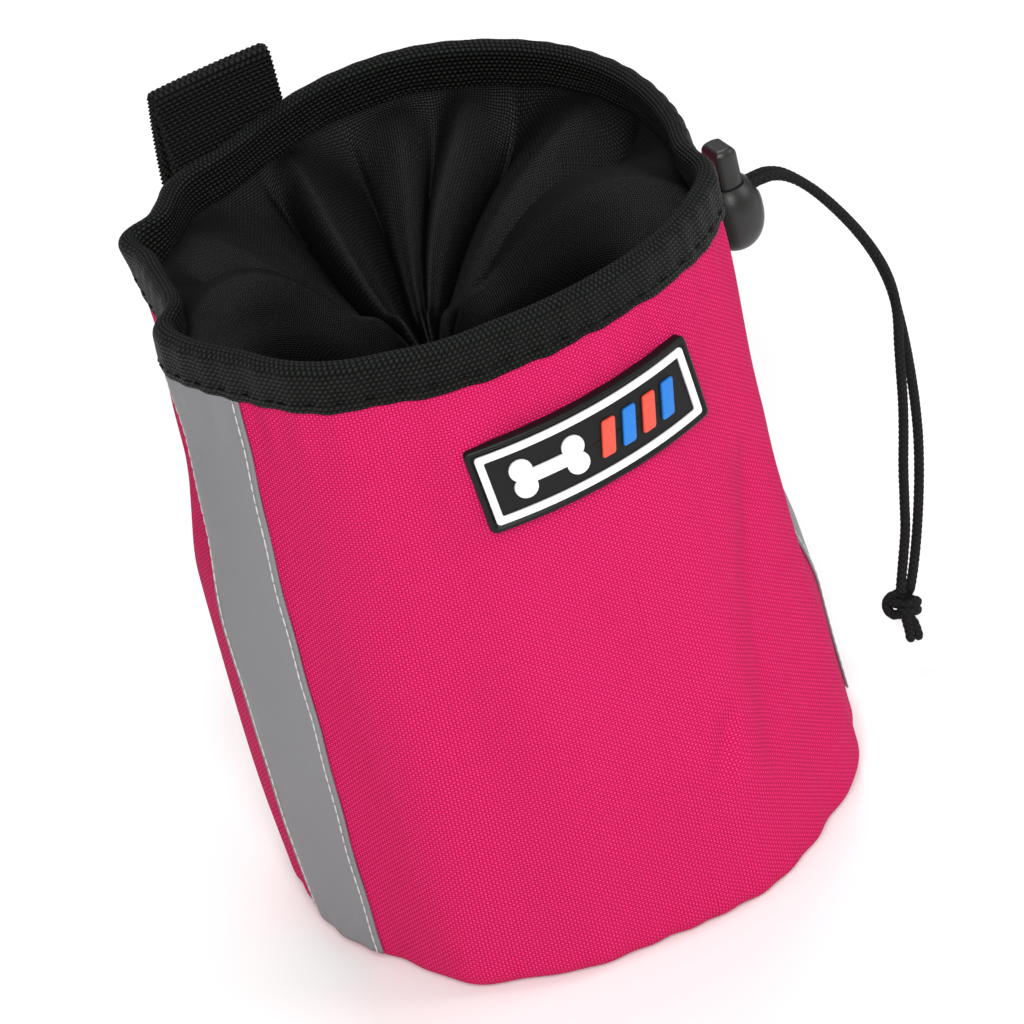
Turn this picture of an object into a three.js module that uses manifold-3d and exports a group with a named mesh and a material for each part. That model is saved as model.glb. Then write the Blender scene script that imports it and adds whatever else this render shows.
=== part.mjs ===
// A round drawcord treat pouch: a soft woven bag whose mouth is shut by a gathered collar.
// Millimetres, +Z up. The origin is the centre of the underside. The label faces -Y, the front,
// and the cord lock sits on the +X side. Angles run round the pouch from the front towards +X.

import * as THREE from 'three';
import { mergeVertices } from 'three/addons/utils/BufferGeometryUtils.js';
import Module from 'manifold-3d';

const wasm = await Module();
wasm.setup();

// ---- Driving dimensions ----

const pouchHeight = 138;        // underside to the top of the rim binding
const rimRadius = 55.2;         // outside of the wall at the rim
const baseRadius = 57.6;        // outside of the wall at the bottom
const cornerRadius = 5;         // soft edge where the wall turns under
const gap = 0.3;                // left between pieces that touch

const outerCloth = 1.2;         // coated polyester with its backing
const liningCloth = 0.8;
const collarCloth = 0.8;
const bindingTape = 1.1;
const bindingOutside = 9;       // how far the binding reaches down outside
const bindingInside = 11;       // and inside

const gatherHeight = 106.9;     // where the gathered collar meets in the middle
const gatherCentre = new THREE.Vector2(-6.5, -1);
const gatherHole = 4.8;         // radius of the small hole that the gather leaves

const cordDiameter = 2;
const cordSpacing = 2.3;        // between the centres of the two strands
const cordHeight = 111.2;       // where the drawcord comes out of the wall
const cordHoleRadius = 2.8;

const lockCentre = new THREE.Vector3(60.2, 0, 107);
const lockRadius = 6.2;
const lockHalfHeight = 8;
const plungerWidth = 7.2;
const plungerThickness = 4.6;
const plungerTravel = 3.5;
const plungerTop = lockCentre.z + 14.6;

const stripWidth = 25;
const stripTape = 0.4;
const stripAngles = { left: -81.5, right: 74 };

const labelSize = new THREE.Vector3(46, 17, 1.9);
const labelAngle = -2;
const labelHeight = 112;
const labelTilt = 3.5;          // degrees, rising towards +X
const labelRelief = 0.7;        // how proud the raised marks stand

const webbingWidth = 25.4;
const webbingThickness = 1.6;
const webbingCentre = -13.2;    // the loop is sewn on a little to one side of the back

const roundSegments = 48;
const degrees = Math.PI / 180;

// ---- The soft outline of the bag ----

// Places where the cloth is pushed out or in: angle and spread in degrees, push in millimetres.
const rimBends = [
  { at: -8, spread: 20, push: -2.0 },
  { at: 34, spread: 16, push: 3.4 },
  { at: 80, spread: 26, push: -5.5 },
  { at: 150, spread: 28, push: 1.8 },
  { at: -57, spread: 14, push: 2.2 },
];
const waistBends = [
  { at: -118, spread: 36, push: 3.2 },
  { at: 76, spread: 30, push: -0.8 },
];
const baseBends = [
  { at: -48, spread: 14, push: 3.6 },
  { at: 60, spread: 20, push: -0.8 },
];

/** Total push of a list of bends at an angle in radians. */
function bendPush(angle, bends) {
  return bends.reduce((total, bend) => {
    const turn = THREE.MathUtils.euclideanModulo(angle / degrees - bend.at + 180, 360) - 180;
    return total + bend.push * Math.exp(-((turn / bend.spread) ** 2));
  }, 0);
}

/** How much of the rim's shape the wall has at a height: 0 at the bottom, 1 at the rim. */
function rise(z) {
  return THREE.MathUtils.clamp(z / pouchHeight, 0, 1) ** 1.6;
}

/** Radius of the wall's outside before the cloth is pushed about. */
function wallRadius(z) {
  return THREE.MathUtils.lerp(baseRadius, rimRadius, rise(z));
}

/** Factor by which the soft cloth stretches a circle at an angle and a height. */
function outline(angle, z) {
  const along = THREE.MathUtils.clamp(z / pouchHeight, 0, 1);
  const ends = THREE.MathUtils.lerp(bendPush(angle, baseBends), bendPush(angle, rimBends), rise(z));
  const waist = bendPush(angle, waistBends) * Math.sin(Math.PI * along);
  return 1 + (ends + waist) / wallRadius(z);
}

/** The point at an angle, a radius before bending, and a height. */
function place(angle, radius, z) {
  const reach = radius * outline(angle, z);
  return new THREE.Vector3(reach * Math.sin(angle), -reach * Math.cos(angle), z);
}

/** The point that stands a distance out from the wall. */
function onWall(angle, lift, z) {
  return place(angle, wallRadius(z) + lift, z);
}

// ---- Making solids ----

/** Moves every vertex of a geometry to where a function of its old place puts it. */
function reshaped(geometry, move) {
  const position = geometry.attributes.position;
  const vertex = new THREE.Vector3();
  for (let index = 0; index < position.count; index += 1) {
    const moved = move(vertex.fromBufferAttribute(position, index));
    position.setXYZ(index, moved.x, moved.y, moved.z);
  }
  geometry.computeVertexNormals();
  return geometry;
}

/** Turns a closed profile of [radius, height] points round Z and bends it to the bag's outline. */
function turned(profile, bend = (angle, radius, z) => place(angle, radius, z)) {
  const points = [...profile, profile[0]].map(([radius, height]) => new THREE.Vector2(radius, height));
  const round = new THREE.LatheGeometry(points, roundSegments).rotateX(Math.PI / 2);
  return reshaped(round, (point) => bend(
    Math.atan2(point.x, -point.y), Math.hypot(point.x, point.y), point.z));
}

/** Gives a line of [x, y] points a thickness: a closed outline round it. */
function ribbonOutline(line, thickness) {
  const side = (sign) => line.map(([x, y], index) => {
    const before = new THREE.Vector2(...(line[index - 1] ?? line[index]));
    const after = new THREE.Vector2(...(line[index + 1] ?? line[index]));
    const along = after.sub(before).normalize();
    return [x - sign * along.y * thickness / 2, y + sign * along.x * thickness / 2];
  });
  return [...side(-1), ...side(1).reverse()];
}

/** Points of an arc from one angle to another, in degrees, both ends included. */
function arc(x, y, radius, from, to, steps) {
  return Array.from({ length: steps + 1 }, (_, step) => {
    const angle = THREE.MathUtils.lerp(from, to, step / steps) * degrees;
    return [x + radius * Math.cos(angle), y + radius * Math.sin(angle)];
  });
}

/** Lays a flat plate's geometry on the wall: x runs round it, y up it and z out of it. */
function laidOnWall(geometry, angle, height, lift, tilt = 0) {
  const turn = new THREE.Matrix4().makeRotationZ(tilt * degrees);
  return reshaped(geometry.applyMatrix4(turn), ({ x, y, z }) => {
    const level = height + y;
    return onWall(angle * degrees + x / wallRadius(level), lift + z, level);
  });
}

/** A tube of the cord's diameter along a curve. */
function cordTube(points, steps) {
  const section = new THREE.Shape().absarc(0, 0, cordDiameter / 2, 0, 2 * Math.PI);
  return new THREE.ExtrudeGeometry(section, {
    steps, extrudePath: new THREE.CatmullRomCurve3(points), curveSegments: 4,
  });
}

/** A slot or stem outline: a circle with two flat sides. */
function doubleFlat(width, thickness) {
  const flat = Math.asin(thickness / width);
  const shape = new THREE.Shape();
  shape.absarc(0, 0, width / 2, -flat, flat, false);
  shape.absarc(0, 0, width / 2, Math.PI - flat, Math.PI + flat, false);
  return shape;
}

/** A straight prism of a shape, from one height to another. */
function prism(shape, from, to) {
  return new THREE.ExtrudeGeometry(shape, { depth: to - from, bevelEnabled: false, curveSegments: 4 })
    .translate(0, 0, from);
}

/** A round hole cutter along X at the height where the drawcord leaves. */
function cordHoleCutter() {
  return new THREE.CylinderGeometry(cordHoleRadius, cordHoleRadius, 24, 16)
    .rotateZ(Math.PI / 2)
    .translate(rimRadius, 0, cordHeight);
}

function toManifold(geometry) {
  const bare = geometry.clone();
  bare.deleteAttribute('normal');
  bare.deleteAttribute('uv');
  const merged = mergeVertices(bare, 1e-4);
  return new wasm.Manifold(new wasm.Mesh({
    numProp: 3,
    vertProperties: new Float32Array(merged.attributes.position.array),
    triVerts: new Uint32Array(merged.index.array),
  }));
}

function toGeometry(solid) {
  const mesh = solid.getMesh();
  const geometry = new THREE.BufferGeometry();
  geometry.setAttribute('position', new THREE.BufferAttribute(mesh.vertProperties, 3));
  geometry.setIndex(new THREE.BufferAttribute(mesh.triVerts, 1));
  geometry.computeVertexNormals();
  return geometry;
}

function cut(geometry, ...cutters) {
  const start = toManifold(geometry);
  return toGeometry(cutters.reduce((solid, cutter) => solid.subtract(toManifold(cutter)), start));
}

function joined(first, ...others) {
  const start = toManifold(first);
  return toGeometry(others.reduce((solid, other) => solid.add(toManifold(other)), start));
}

// ---- Finishes ----

const finishes = {
  magentaPolyester: { color: 0xdb2b66, roughness: 0.85, metalness: 0 },
  blackLining: { color: 0x212521, roughness: 0.6, metalness: 0 },
  blackTape: { color: 0x1c1d1a, roughness: 0.9, metalness: 0 },
  blackCord: { color: 0x191b19, roughness: 0.85, metalness: 0 },
  blackWebbing: { color: 0x131713, roughness: 0.85, metalness: 0 },
  greyReflective: { color: 0x87878b, roughness: 0.45, metalness: 0.1 },
  blackRubber: { color: 0x2b2b2b, roughness: 0.6, metalness: 0 },
  whiteRubber: { color: 0xf4f4f2, roughness: 0.5, metalness: 0 },
  orangeRubber: { color: 0xe8574a, roughness: 0.5, metalness: 0 },
  blueRubber: { color: 0x0f74c7, roughness: 0.5, metalness: 0 },
  blackPlastic: { color: 0x2d2c2b, roughness: 0.5, metalness: 0 },
  springSteel: { color: 0xb4b6b8, roughness: 0.3, metalness: 1 },
};

function piece(name, geometry, finish) {
  const mesh = new THREE.Mesh(geometry, new THREE.MeshStandardMaterial(finishes[finish]));
  mesh.name = name;
  return mesh;
}

// ---- The bag ----

// How deep each layer lies under the wall's outside.
const liningDepth = outerCloth + gap;
const collarDepth = liningDepth + liningCloth + gap;
const bindingDepth = collarDepth + collarCloth + gap;
const bindingLift = gap + bindingTape;
const bindingBend = (bindingDepth + bindingTape + bindingLift) / 2;
const bindingShoulder = pouchHeight - bindingBend;
const clothTop = bindingShoulder + 0.5;

/** Closed profile of one skin of the bag: the wall, its soft bottom corner and a turned-in edge. */
function skinProfile(depth, thickness) {
  const corner = { radius: baseRadius - cornerRadius, height: cornerRadius };
  const levels = [28, 56, 84, 110, clothTop];
  const side = (inset) => [
    ...arc(corner.radius, corner.height, cornerRadius - inset, -90, 0, 3),
    ...levels.map((z) => [wallRadius(z) - inset, z]),
  ];
  return [...side(depth), ...side(depth + thickness).reverse()];
}

/** Closed profile of a flat disc inside the turned-in edge of a skin. */
function discProfile(bottom, thickness) {
  const radius = baseRadius - cornerRadius - gap;
  return [[0, bottom], [radius, bottom], [radius, bottom + thickness], [0, bottom + thickness]];
}

function bindingProfile() {
  const outside = (z) => [wallRadius(z) + bindingLift, z];
  const inside = (z) => [wallRadius(z) - bindingDepth - bindingTape, z];
  const middle = wallRadius(bindingShoulder) + bindingLift - bindingBend;
  const innerBend = bindingBend - bindingTape;
  const outerFoot = pouchHeight - bindingOutside;
  const innerFoot = pouchHeight - bindingInside;
  return [
    outside(outerFoot),
    ...arc(middle, bindingShoulder, bindingBend, 0, 180, 6),
    inside(innerFoot),
    [wallRadius(innerFoot) - bindingDepth, innerFoot],
    ...arc(middle, bindingShoulder, innerBend, 180, 0, 4),
    [wallRadius(outerFoot) + gap, outerFoot],
  ];
}

/** The collar: sewn in under the binding, it falls inwards and ends in a hem over the cord. */
function collarProfile() {
  const middle = collarDepth + collarCloth / 2;
  const foot = pouchHeight - bindingInside - 1;
  const edge = wallRadius(foot) - middle;
  return ribbonOutline([
    [gatherHole + collarCloth / 2, gatherHeight - 3.8],
    [gatherHole + collarCloth / 2, gatherHeight],
    [gatherHole + 4, gatherHeight],
    [gatherHole + 11, gatherHeight + 2.2],
    [30, gatherHeight + 7.5],
    [42, gatherHeight + 13],
    [edge - 3.5, foot - 2.2],
    [edge - 0.5, foot],
    [edge, foot + 3],
    [wallRadius(clothTop) - middle, clothTop],
  ], collarCloth);
}

/** Bends the collar: it follows the rim at its edge and is round about the gather's centre. */
function collarPlace(angle, radius, z) {
  const spread = THREE.MathUtils.smoothstep(radius, gatherHole + 6, rimRadius - collarDepth - 3);
  const reach = radius * THREE.MathUtils.lerp(1, outline(angle, z), spread);
  return new THREE.Vector3(
    reach * Math.sin(angle) + gatherCentre.x * (1 - spread),
    -reach * Math.cos(angle) + gatherCentre.y * (1 - spread),
    z);
}

function makeBag() {
  return [
    piece('outer_panel', cut(turned(skinProfile(0, outerCloth)), cordHoleCutter()), 'magentaPolyester'),
    piece('base_panel', turned(discProfile(0, outerCloth)), 'magentaPolyester'),
    piece('lining_wall', cut(turned(skinProfile(liningDepth, liningCloth)), cordHoleCutter()),
      'blackLining'),
    piece('lining_base', turned(discProfile(liningDepth, liningCloth)), 'blackLining'),
    piece('rim_binding', turned(bindingProfile()), 'blackTape'),
    piece('closure_collar', turned(collarProfile(), collarPlace), 'blackLining'),
  ];
}

// ---- Reflective strips and label ----

function makeStrip(name, angle) {
  const foot = cornerRadius;
  const top = pouchHeight - bindingOutside - 2 * gap;
  const strip = new THREE.BoxGeometry(stripWidth, top - foot, stripTape, 6, 8, 1)
    .translate(0, 0, stripTape / 2);
  return piece(name, laidOnWall(strip, angle, (foot + top) / 2, gap), 'greyReflective');
}

/** A plate of the label, centred at u, v on its face, with its underside a distance up from the wall. */
function labelPlate(u, v, width, height, thickness, lift, steps) {
  const plate = new THREE.BoxGeometry(width, height, thickness, steps, 2, 1)
    .translate(u, v, thickness / 2);
  return laidOnWall(plate, labelAngle, labelHeight, lift, labelTilt);
}

function makeLabel() {
  const marksLift = 2 * gap + labelSize.z;
  const frame = { width: 41.6, height: 12.8, stroke: 1.45 };
  const railShift = (frame.height - frame.stroke) / 2;
  const postShift = (frame.width - frame.stroke) / 2;
  const rail = (v) => labelPlate(0, v, frame.width, frame.stroke, labelRelief, marksLift, 10);
  const post = (u) => labelPlate(u, 0, frame.stroke, frame.height, labelRelief, marksLift, 1);

  const bone = { centre: -9.5, shaft: 10, waist: 2.6, knob: 1.9, spread: 1.7 };
  const knob = (endSide, edgeSide) => laidOnWall(
    new THREE.CylinderGeometry(bone.knob, bone.knob, labelRelief, 10)
      .rotateX(Math.PI / 2)
      .translate(bone.centre + endSide * bone.shaft / 2, edgeSide * bone.spread, labelRelief / 2),
    labelAngle, labelHeight, marksLift, labelTilt);
  const boneShape = joined(
    labelPlate(bone.centre, 0, bone.shaft, bone.waist, labelRelief, marksLift, 6),
    knob(-1, -1), knob(-1, 1), knob(1, -1), knob(1, 1));

  const bar = { first: 2.2, step: 4.4, width: 2.7, height: 6.6, slant: 0.3 };
  const barShape = (index) => {
    const slanted = new THREE.BoxGeometry(bar.width, bar.height, labelRelief, 2, 2, 1)
      .applyMatrix4(new THREE.Matrix4().makeShear(0, 0, bar.slant, 0, 0, 0))
      .translate(bar.first + index * bar.step, 0, labelRelief / 2);
    return laidOnWall(slanted, labelAngle, labelHeight, marksLift, labelTilt);
  };

  return [
    piece('label_base', labelPlate(0, 0, labelSize.x, labelSize.y, labelSize.z, gap, 10), 'blackRubber'),
    piece('label_frame', joined(rail(-railShift), rail(railShift), post(-postShift), post(postShift)),
      'whiteRubber'),
    piece('label_bone', boneShape, 'whiteRubber'),
    ...[0, 1, 2, 3].map((index) => piece(
      `label_bar_${index + 1}`, barShape(index), index % 2 ? 'blueRubber' : 'orangeRubber')),
  ];
}

// ---- The belt loop ----

/** How far the wall's back surface lies behind the origin at a sideways distance and a height. */
function backOfWall(x, z) {
  const angle = Math.PI - Math.asin(x / wallRadius(z));
  return Math.sqrt(onWall(angle, 0, z).lengthSq() - z * z - x * x);
}

function makeBeltLoop() {
  const standoff = gap + webbingThickness / 2;
  const lower = 98;             // end of the leg that is sewn on under the rim
  const fold = { y: 59, height: 147.2, radius: 1.2 };
  const anchor = { top: 76, bottom: 60 };
  const wall = (z) => backOfWall(webbingCentre, z) + standoff;
  const line = [
    [wall(lower), lower],
    [wall(110), 110],
    [wall(118), 118],
    [fold.y, 130],
    [fold.y, fold.height],
    ...arc(fold.y + fold.radius, fold.height, fold.radius, 150, 30, 3),
    [fold.y + 2 * fold.radius, fold.height],
    [64.6, 138],
    [67.6, 126],
    [67.6, 108],
    [66.6, 94],
    [62.5, 84],
    [wall(anchor.top), anchor.top],
    [wall(anchor.bottom), anchor.bottom],
  ];
  const section = ribbonOutline(line.reverse(), webbingThickness);
  const strap = new THREE.ExtrudeGeometry(
    new THREE.Shape(section.map((point) => new THREE.Vector2(...point))),
    { depth: webbingWidth, steps: 6, bevelEnabled: false });
  // Sewn stretches follow the round wall, and the rest of the loop stands flat.
  return piece('belt_loop', reshaped(strap, (point) => {
    const across = point.z + webbingCentre - webbingWidth / 2;
    const frontLeg = point.x < fold.y + 2 * webbingThickness;
    const level = point.y;
    const sewn = frontLeg || level < anchor.top + 8
      ? 1 - THREE.MathUtils.smoothstep(level, frontLeg ? 114 : anchor.top, frontLeg ? 129 : anchor.top + 12)
      : 0;
    const follow = backOfWall(across, level) - backOfWall(webbingCentre, level);
    return new THREE.Vector3(across, point.x + sewn * follow, level);
  }), 'blackWebbing');
}

// ---- The drawcord ----

const vectors = (points) => points.map((point) => new THREE.Vector3(...point));
const cordSide = cordSpacing / 2;

// The part inside: out of the lock, through the wall, round the collar's hem and back.
function innerCordRoute() {
  const level = gatherHeight - 1.7;
  const ringRadius = gatherHole + collarCloth + gap + cordDiameter / 2;
  const start = lockCentre.x + lockRadius + 2 * gap;
  const lead = (side, nearY) => [
    [start, side * cordSide, cordHeight],
    [58, side * cordSide, cordHeight],
    [50, side * cordSide, cordHeight],
    [42, side * cordSide * 1.1, cordHeight - 0.9],
    [30, side * cordSide * 1.8, cordHeight - 3],
    [16, side * cordSide * 3.2 - 0.4, level + 1],
    [5, nearY, level],
  ];
  const ring = arc(gatherCentre.x, gatherCentre.y, ringRadius, -70, -290, 12)
    .map(([x, y]) => [x, y, level]);
  return vectors([...lead(-1, -6.3), ...ring, ...lead(1, 4.3).reverse()]);
}

const frontStrand = vectors([
  [67.3, -1.15, 111.2], [69.5, -1.15, 110.9], [72.2, -1.2, 109.6], [74.8, -1.3, 107.3],
  [77.3, -1.5, 104.3], [79.7, -1.8, 100.7], [82.2, -2.1, 96.4], [84.6, -2.5, 91.6],
  [86.6, -3.0, 86.6], [88.0, -3.5, 81.6], [88.5, -4.1, 76.5], [88.1, -4.7, 71.4],
  [86.9, -5.4, 66.0], [85.7, -6.2, 60.4], [84.4, -7.1, 54.2], [82.7, -8.0, 47.8],
  [80.8, -8.9, 41.4], [79.2, -9.7, 34.8], [77.6, -10.5, 28.3], [75.4, -11.3, 22.4],
  [73.2, -12.0, 16.6],
]);
const rearStrand = vectors([
  [67.3, 1.15, 111.2], [69.5, 1.15, 110.9], [72.2, 1.1, 109.6], [74.8, 1.0, 107.2],
  [77.4, 0.8, 104.1], [79.9, 0.5, 100.5], [82.5, 0.2, 96.1], [85.0, -0.2, 91.2],
  [87.1, -0.7, 86.1], [88.6, -1.2, 81.0], [89.4, -1.8, 75.9], [89.5, -2.5, 70.4],
  [89.3, -3.3, 64.8], [88.8, -4.2, 58.6], [87.9, -5.3, 51.8], [86.5, -6.6, 45.0],
  [84.6, -7.9, 38.4], [82.3, -9.2, 31.8], [79.8, -10.4, 25.4], [77.4, -11.4, 20.0],
  [75.6, -12.0, 16.4],
]);
const knotCentre = new THREE.Vector3(73.8, -12.3, 12.3);

function makeDrawcord() {
  const lump = new THREE.SphereGeometry(1, 12, 8).scale(3.8, 2.8, 3.3);
  const tail = (side) => new THREE.CylinderGeometry(cordDiameter / 2, cordDiameter / 2, 8, 8)
    .rotateX(Math.PI / 2)
    .rotateY(-0.28 + 0.06 * side)
    .translate(1.2 + side * cordSide * 0.9, 0, -5.2);
  const knot = joined(lump, tail(-1), tail(1)).translate(...knotCentre);
  return [
    piece('drawcord_inner', cordTube(innerCordRoute(), 48), 'blackCord'),
    piece('drawcord_strand_front', cordTube(frontStrand, 30), 'blackCord'),
    piece('drawcord_strand_rear', cordTube(rearStrand, 30), 'blackCord'),
    piece('cord_knot', knot, 'blackCord'),
  ];
}

// ---- The cord lock ----

const boreFloor = lockCentre.z - 5.6;
const stemBottom = cordHeight - 3.2;

class Helix extends THREE.Curve {
  constructor(radius, from, to, turns) {
    super();
    Object.assign(this, { radius, from, to, turns });
  }

  getPoint(t, target = new THREE.Vector3()) {
    const angle = 2 * Math.PI * this.turns * t;
    const z = THREE.MathUtils.lerp(this.from, this.to, t);
    return target.set(this.radius * Math.cos(angle), this.radius * Math.sin(angle), z);
  }
}

/** A slot through the lock along X, wide enough for both strands, between two heights. */
function strandSlot(bottom, top) {
  const width = cordSpacing + cordDiameter + 2 * gap;
  return new THREE.BoxGeometry(4 * lockRadius, width, top - bottom)
    .translate(0, 0, (top + bottom) / 2);
}

function makeLockBody() {
  const bean = new THREE.LatheGeometry(
    arc(0, 0, 1, -90, 90, 12).map(([radius, height]) => new THREE.Vector2(
      Math.max(0, radius) * lockRadius, height * lockHalfHeight)), 20)
    .rotateX(Math.PI / 2)
    .translate(0, 0, lockCentre.z);
  const mouth = lockCentre.z + lockHalfHeight + 1;
  const bore = prism(doubleFlat(plungerWidth + 2 * gap, plungerThickness + 2 * gap), boreFloor, mouth)
    .rotateZ(Math.PI / 2);
  const clearance = 0.7;
  const cordReach = cordDiameter / 2 + clearance;
  return cut(bean, bore, strandSlot(cordHeight - cordReach, cordHeight + cordReach));
}

function makePlunger() {
  const stem = prism(doubleFlat(plungerWidth, plungerThickness), stemBottom, plungerTop)
    .rotateZ(Math.PI / 2);
  const below = cordDiameter / 2 + gap;
  const above = below + plungerTravel;
  return cut(stem, strandSlot(cordHeight - below, cordHeight + above));
}

function makeSpring() {
  const wire = 0.5;
  const coil = new Helix(1.75, boreFloor + wire, stemBottom - wire, 4);
  const section = new THREE.Shape().absarc(0, 0, wire / 2, 0, 2 * Math.PI);
  return new THREE.ExtrudeGeometry(section, { steps: 40, extrudePath: coil, curveSegments: 3 });
}

function makeCordLock() {
  const lock = new THREE.Group();
  lock.position.set(lockCentre.x, lockCentre.y, 0);
  lock.add(
    piece('cord_lock_body', makeLockBody(), 'blackPlastic'),
    piece('cord_lock_plunger', makePlunger(), 'blackPlastic'),
    piece('cord_lock_spring', makeSpring(), 'springSteel'),
  );
  return lock;
}

// ---- The whole pouch ----

const treatPouch = new THREE.Group();
treatPouch.add(
  ...makeBag(),
  makeStrip('reflective_strip_left', stripAngles.left),
  makeStrip('reflective_strip_right', stripAngles.right),
  ...makeLabel(),
  makeBeltLoop(),
  ...makeDrawcord(),
  makeCordLock(),
);

export default treatPouch;
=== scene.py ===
"""A round drawcord treat pouch: its cloth, tape, cords, label and cord lock, laid over the jointed frame.

Metres, +Z up. The origin is the centre of the underside. The label faces -Y, the front, and the
cord lock sits on the +X side. Angles run round the pouch from the front towards +X.
"""

import logging
import math
from dataclasses import dataclass
from enum import Enum
from typing import Callable, Sequence

import bmesh
import bpy
import numpy as np
from mathutils import Matrix, Vector


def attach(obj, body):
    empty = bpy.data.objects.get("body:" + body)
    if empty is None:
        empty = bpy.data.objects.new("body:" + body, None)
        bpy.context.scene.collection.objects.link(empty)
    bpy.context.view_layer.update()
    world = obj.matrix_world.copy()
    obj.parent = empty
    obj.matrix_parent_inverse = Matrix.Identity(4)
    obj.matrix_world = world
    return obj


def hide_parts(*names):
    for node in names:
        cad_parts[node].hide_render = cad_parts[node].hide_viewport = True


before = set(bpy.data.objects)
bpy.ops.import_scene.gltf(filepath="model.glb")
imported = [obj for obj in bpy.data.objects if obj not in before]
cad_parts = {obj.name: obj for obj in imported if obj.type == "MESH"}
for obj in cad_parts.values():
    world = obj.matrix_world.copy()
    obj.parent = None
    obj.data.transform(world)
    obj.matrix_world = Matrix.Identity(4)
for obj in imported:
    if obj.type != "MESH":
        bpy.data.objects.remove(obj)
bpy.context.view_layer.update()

MM = 0.001
MERGE_DISTANCE = 1e-7
CURVE_STEPS = 24
Value = float | np.ndarray
Piece = bpy.types.Object
log = logging.getLogger("treat_pouch")


# ---- Numbers and curves ----


def mix(first: Value, second: Value, share: Value) -> Value:
    """The value that lies a share of the way from the first to the second."""
    return first + (second - first) * share


def smooth_step(low: float, high: float, value: Value) -> Value:
    """0 below low, 1 above high, and a soft rise between them."""
    share = np.clip((value - low) / (high - low), 0, 1)
    return share * share * (3 - 2 * share)


def smooth_line(points: Sequence[Sequence[float]], spacing: float) -> np.ndarray:
    """Runs a smooth curve through the points and steps along it evenly.

    Args:
        points: the places that the curve passes through.
        spacing: the distance between two steps, about.

    Returns:
        The steps, one row each, from the first point to the last.
    """
    known = np.array(points, float)
    ends = np.vstack([2 * known[0] - known[1], known, 2 * known[-1] - known[-2]])
    parts = []
    for before, start, end, after in zip(ends, ends[1:], ends[2:], ends[3:]):
        t = np.linspace(0, 1, CURVE_STEPS, endpoint=False)[:, None]
        parts.append(0.5 * (2 * start + (end - before) * t
                            + (2 * before - 5 * start + 4 * end - after) * t ** 2
                            + (3 * start - before - 3 * end + after) * t ** 3))
    dense = np.vstack([*parts, known[-1:]])
    return even_steps(dense, spacing)


def even_steps(line: np.ndarray, spacing: float) -> np.ndarray:
    """The same line, with its points an even distance apart.

    Args:
        line: its points, one row each.
        spacing: the distance between two steps, about.

    Returns:
        The new points.
    """
    lengths = np.concatenate([[0], np.cumsum(np.linalg.norm(np.diff(line, axis=0), axis=1))])
    wanted = np.linspace(0, lengths[-1], max(2, round(lengths[-1] / spacing) + 1))
    return np.stack([np.interp(wanted, lengths, line[:, axis]) for axis in range(line.shape[1])], 1)


def arc_points(centre: Sequence[float], radius: float, start: float, end: float, steps: int) -> np.ndarray:
    """Points of an arc in a plane, between two angles in degrees, both ends included."""
    angle = np.radians(np.linspace(start, end, steps + 1))
    return np.stack([centre[0] + radius * np.cos(angle), centre[1] + radius * np.sin(angle)], 1)


def round_corners(width: float, height: float, radius: float, steps: int) -> list[np.ndarray]:
    """The four corners of a rounded rectangle about the origin, each an arc.

    Args:
        width: the whole width.
        height: the whole height.
        radius: the corners' radius.
        steps: the steps in each arc.

    Returns:
        The arcs, in order round it.
    """
    corners = []
    for turn, (right, up) in enumerate([(1, 1), (-1, 1), (-1, -1), (1, -1)]):
        centre = (right * (width / 2 - radius), up * (height / 2 - radius))
        corners.append(arc_points(centre, radius, 90 * turn, 90 * turn + 90, steps))
    return corners


# ---- Meshes ----


def new_object(name: str, mesh: bpy.types.Mesh) -> Piece:
    """Puts a mesh into the scene as an object of that name.

    Args:
        name: the object's name.
        mesh: its mesh.

    Returns:
        The new object.
    """
    made = bpy.data.objects.new(name, mesh)
    mesh.name = name
    bpy.context.scene.collection.objects.link(made)
    return made


def quad_grid(name: str, points: np.ndarray, uv: np.ndarray, wrap: bool = False,
              close: bool = False) -> Piece:
    """Makes an object of quads from a grid of points.

    Args:
        name: the object's name.
        points: the grid, rows by columns by 3.
        uv: the cloth's own flat coordinates in metres; with wrap it has one column more.
        wrap: joins the last column to the first.
        close: joins the last row to the first.

    Returns:
        The new object.
    """
    rows, columns = points.shape[:2]
    row = np.arange(rows if close else rows - 1)[:, None]
    column = np.arange(columns if wrap else columns - 1)[None, :]
    next_row, next_column = (row + 1) % rows, (column + 1) % columns
    corners = [(row, column), (row, next_column), (next_row, next_column), (next_row, column)]
    faces = np.stack([np.broadcast_to(r * columns + c, (row.size, column.size)) for r, c in corners], -1)
    mesh = bpy.data.meshes.new(name)
    mesh.from_pydata(points.reshape(-1, 3).tolist(), [], faces.reshape(-1, 4).tolist())
    layer = mesh.uv_layers.new(name="flat")
    flat_rows = [row, row, row + 1, row + 1]
    flat_columns = [column, column + 1, column + 1, column]
    flat = np.stack([uv[np.minimum(r, uv.shape[0] - 1), np.minimum(c, uv.shape[1] - 1)]
                     for r, c in zip(flat_rows, flat_columns)], 2)
    layer.data.foreach_set("uv", flat.reshape(-1).astype(np.float32))
    return new_object(name, mesh)


def edit_mesh(piece: Piece, change: Callable[[bmesh.types.BMesh], None]) -> None:
    """Runs a change on an object's mesh.

    Args:
        piece: the object.
        change: edits the mesh that it is given.
    """
    work = bmesh.new()
    work.from_mesh(piece.data)
    change(work)
    work.to_mesh(piece.data)
    work.free()


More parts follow.
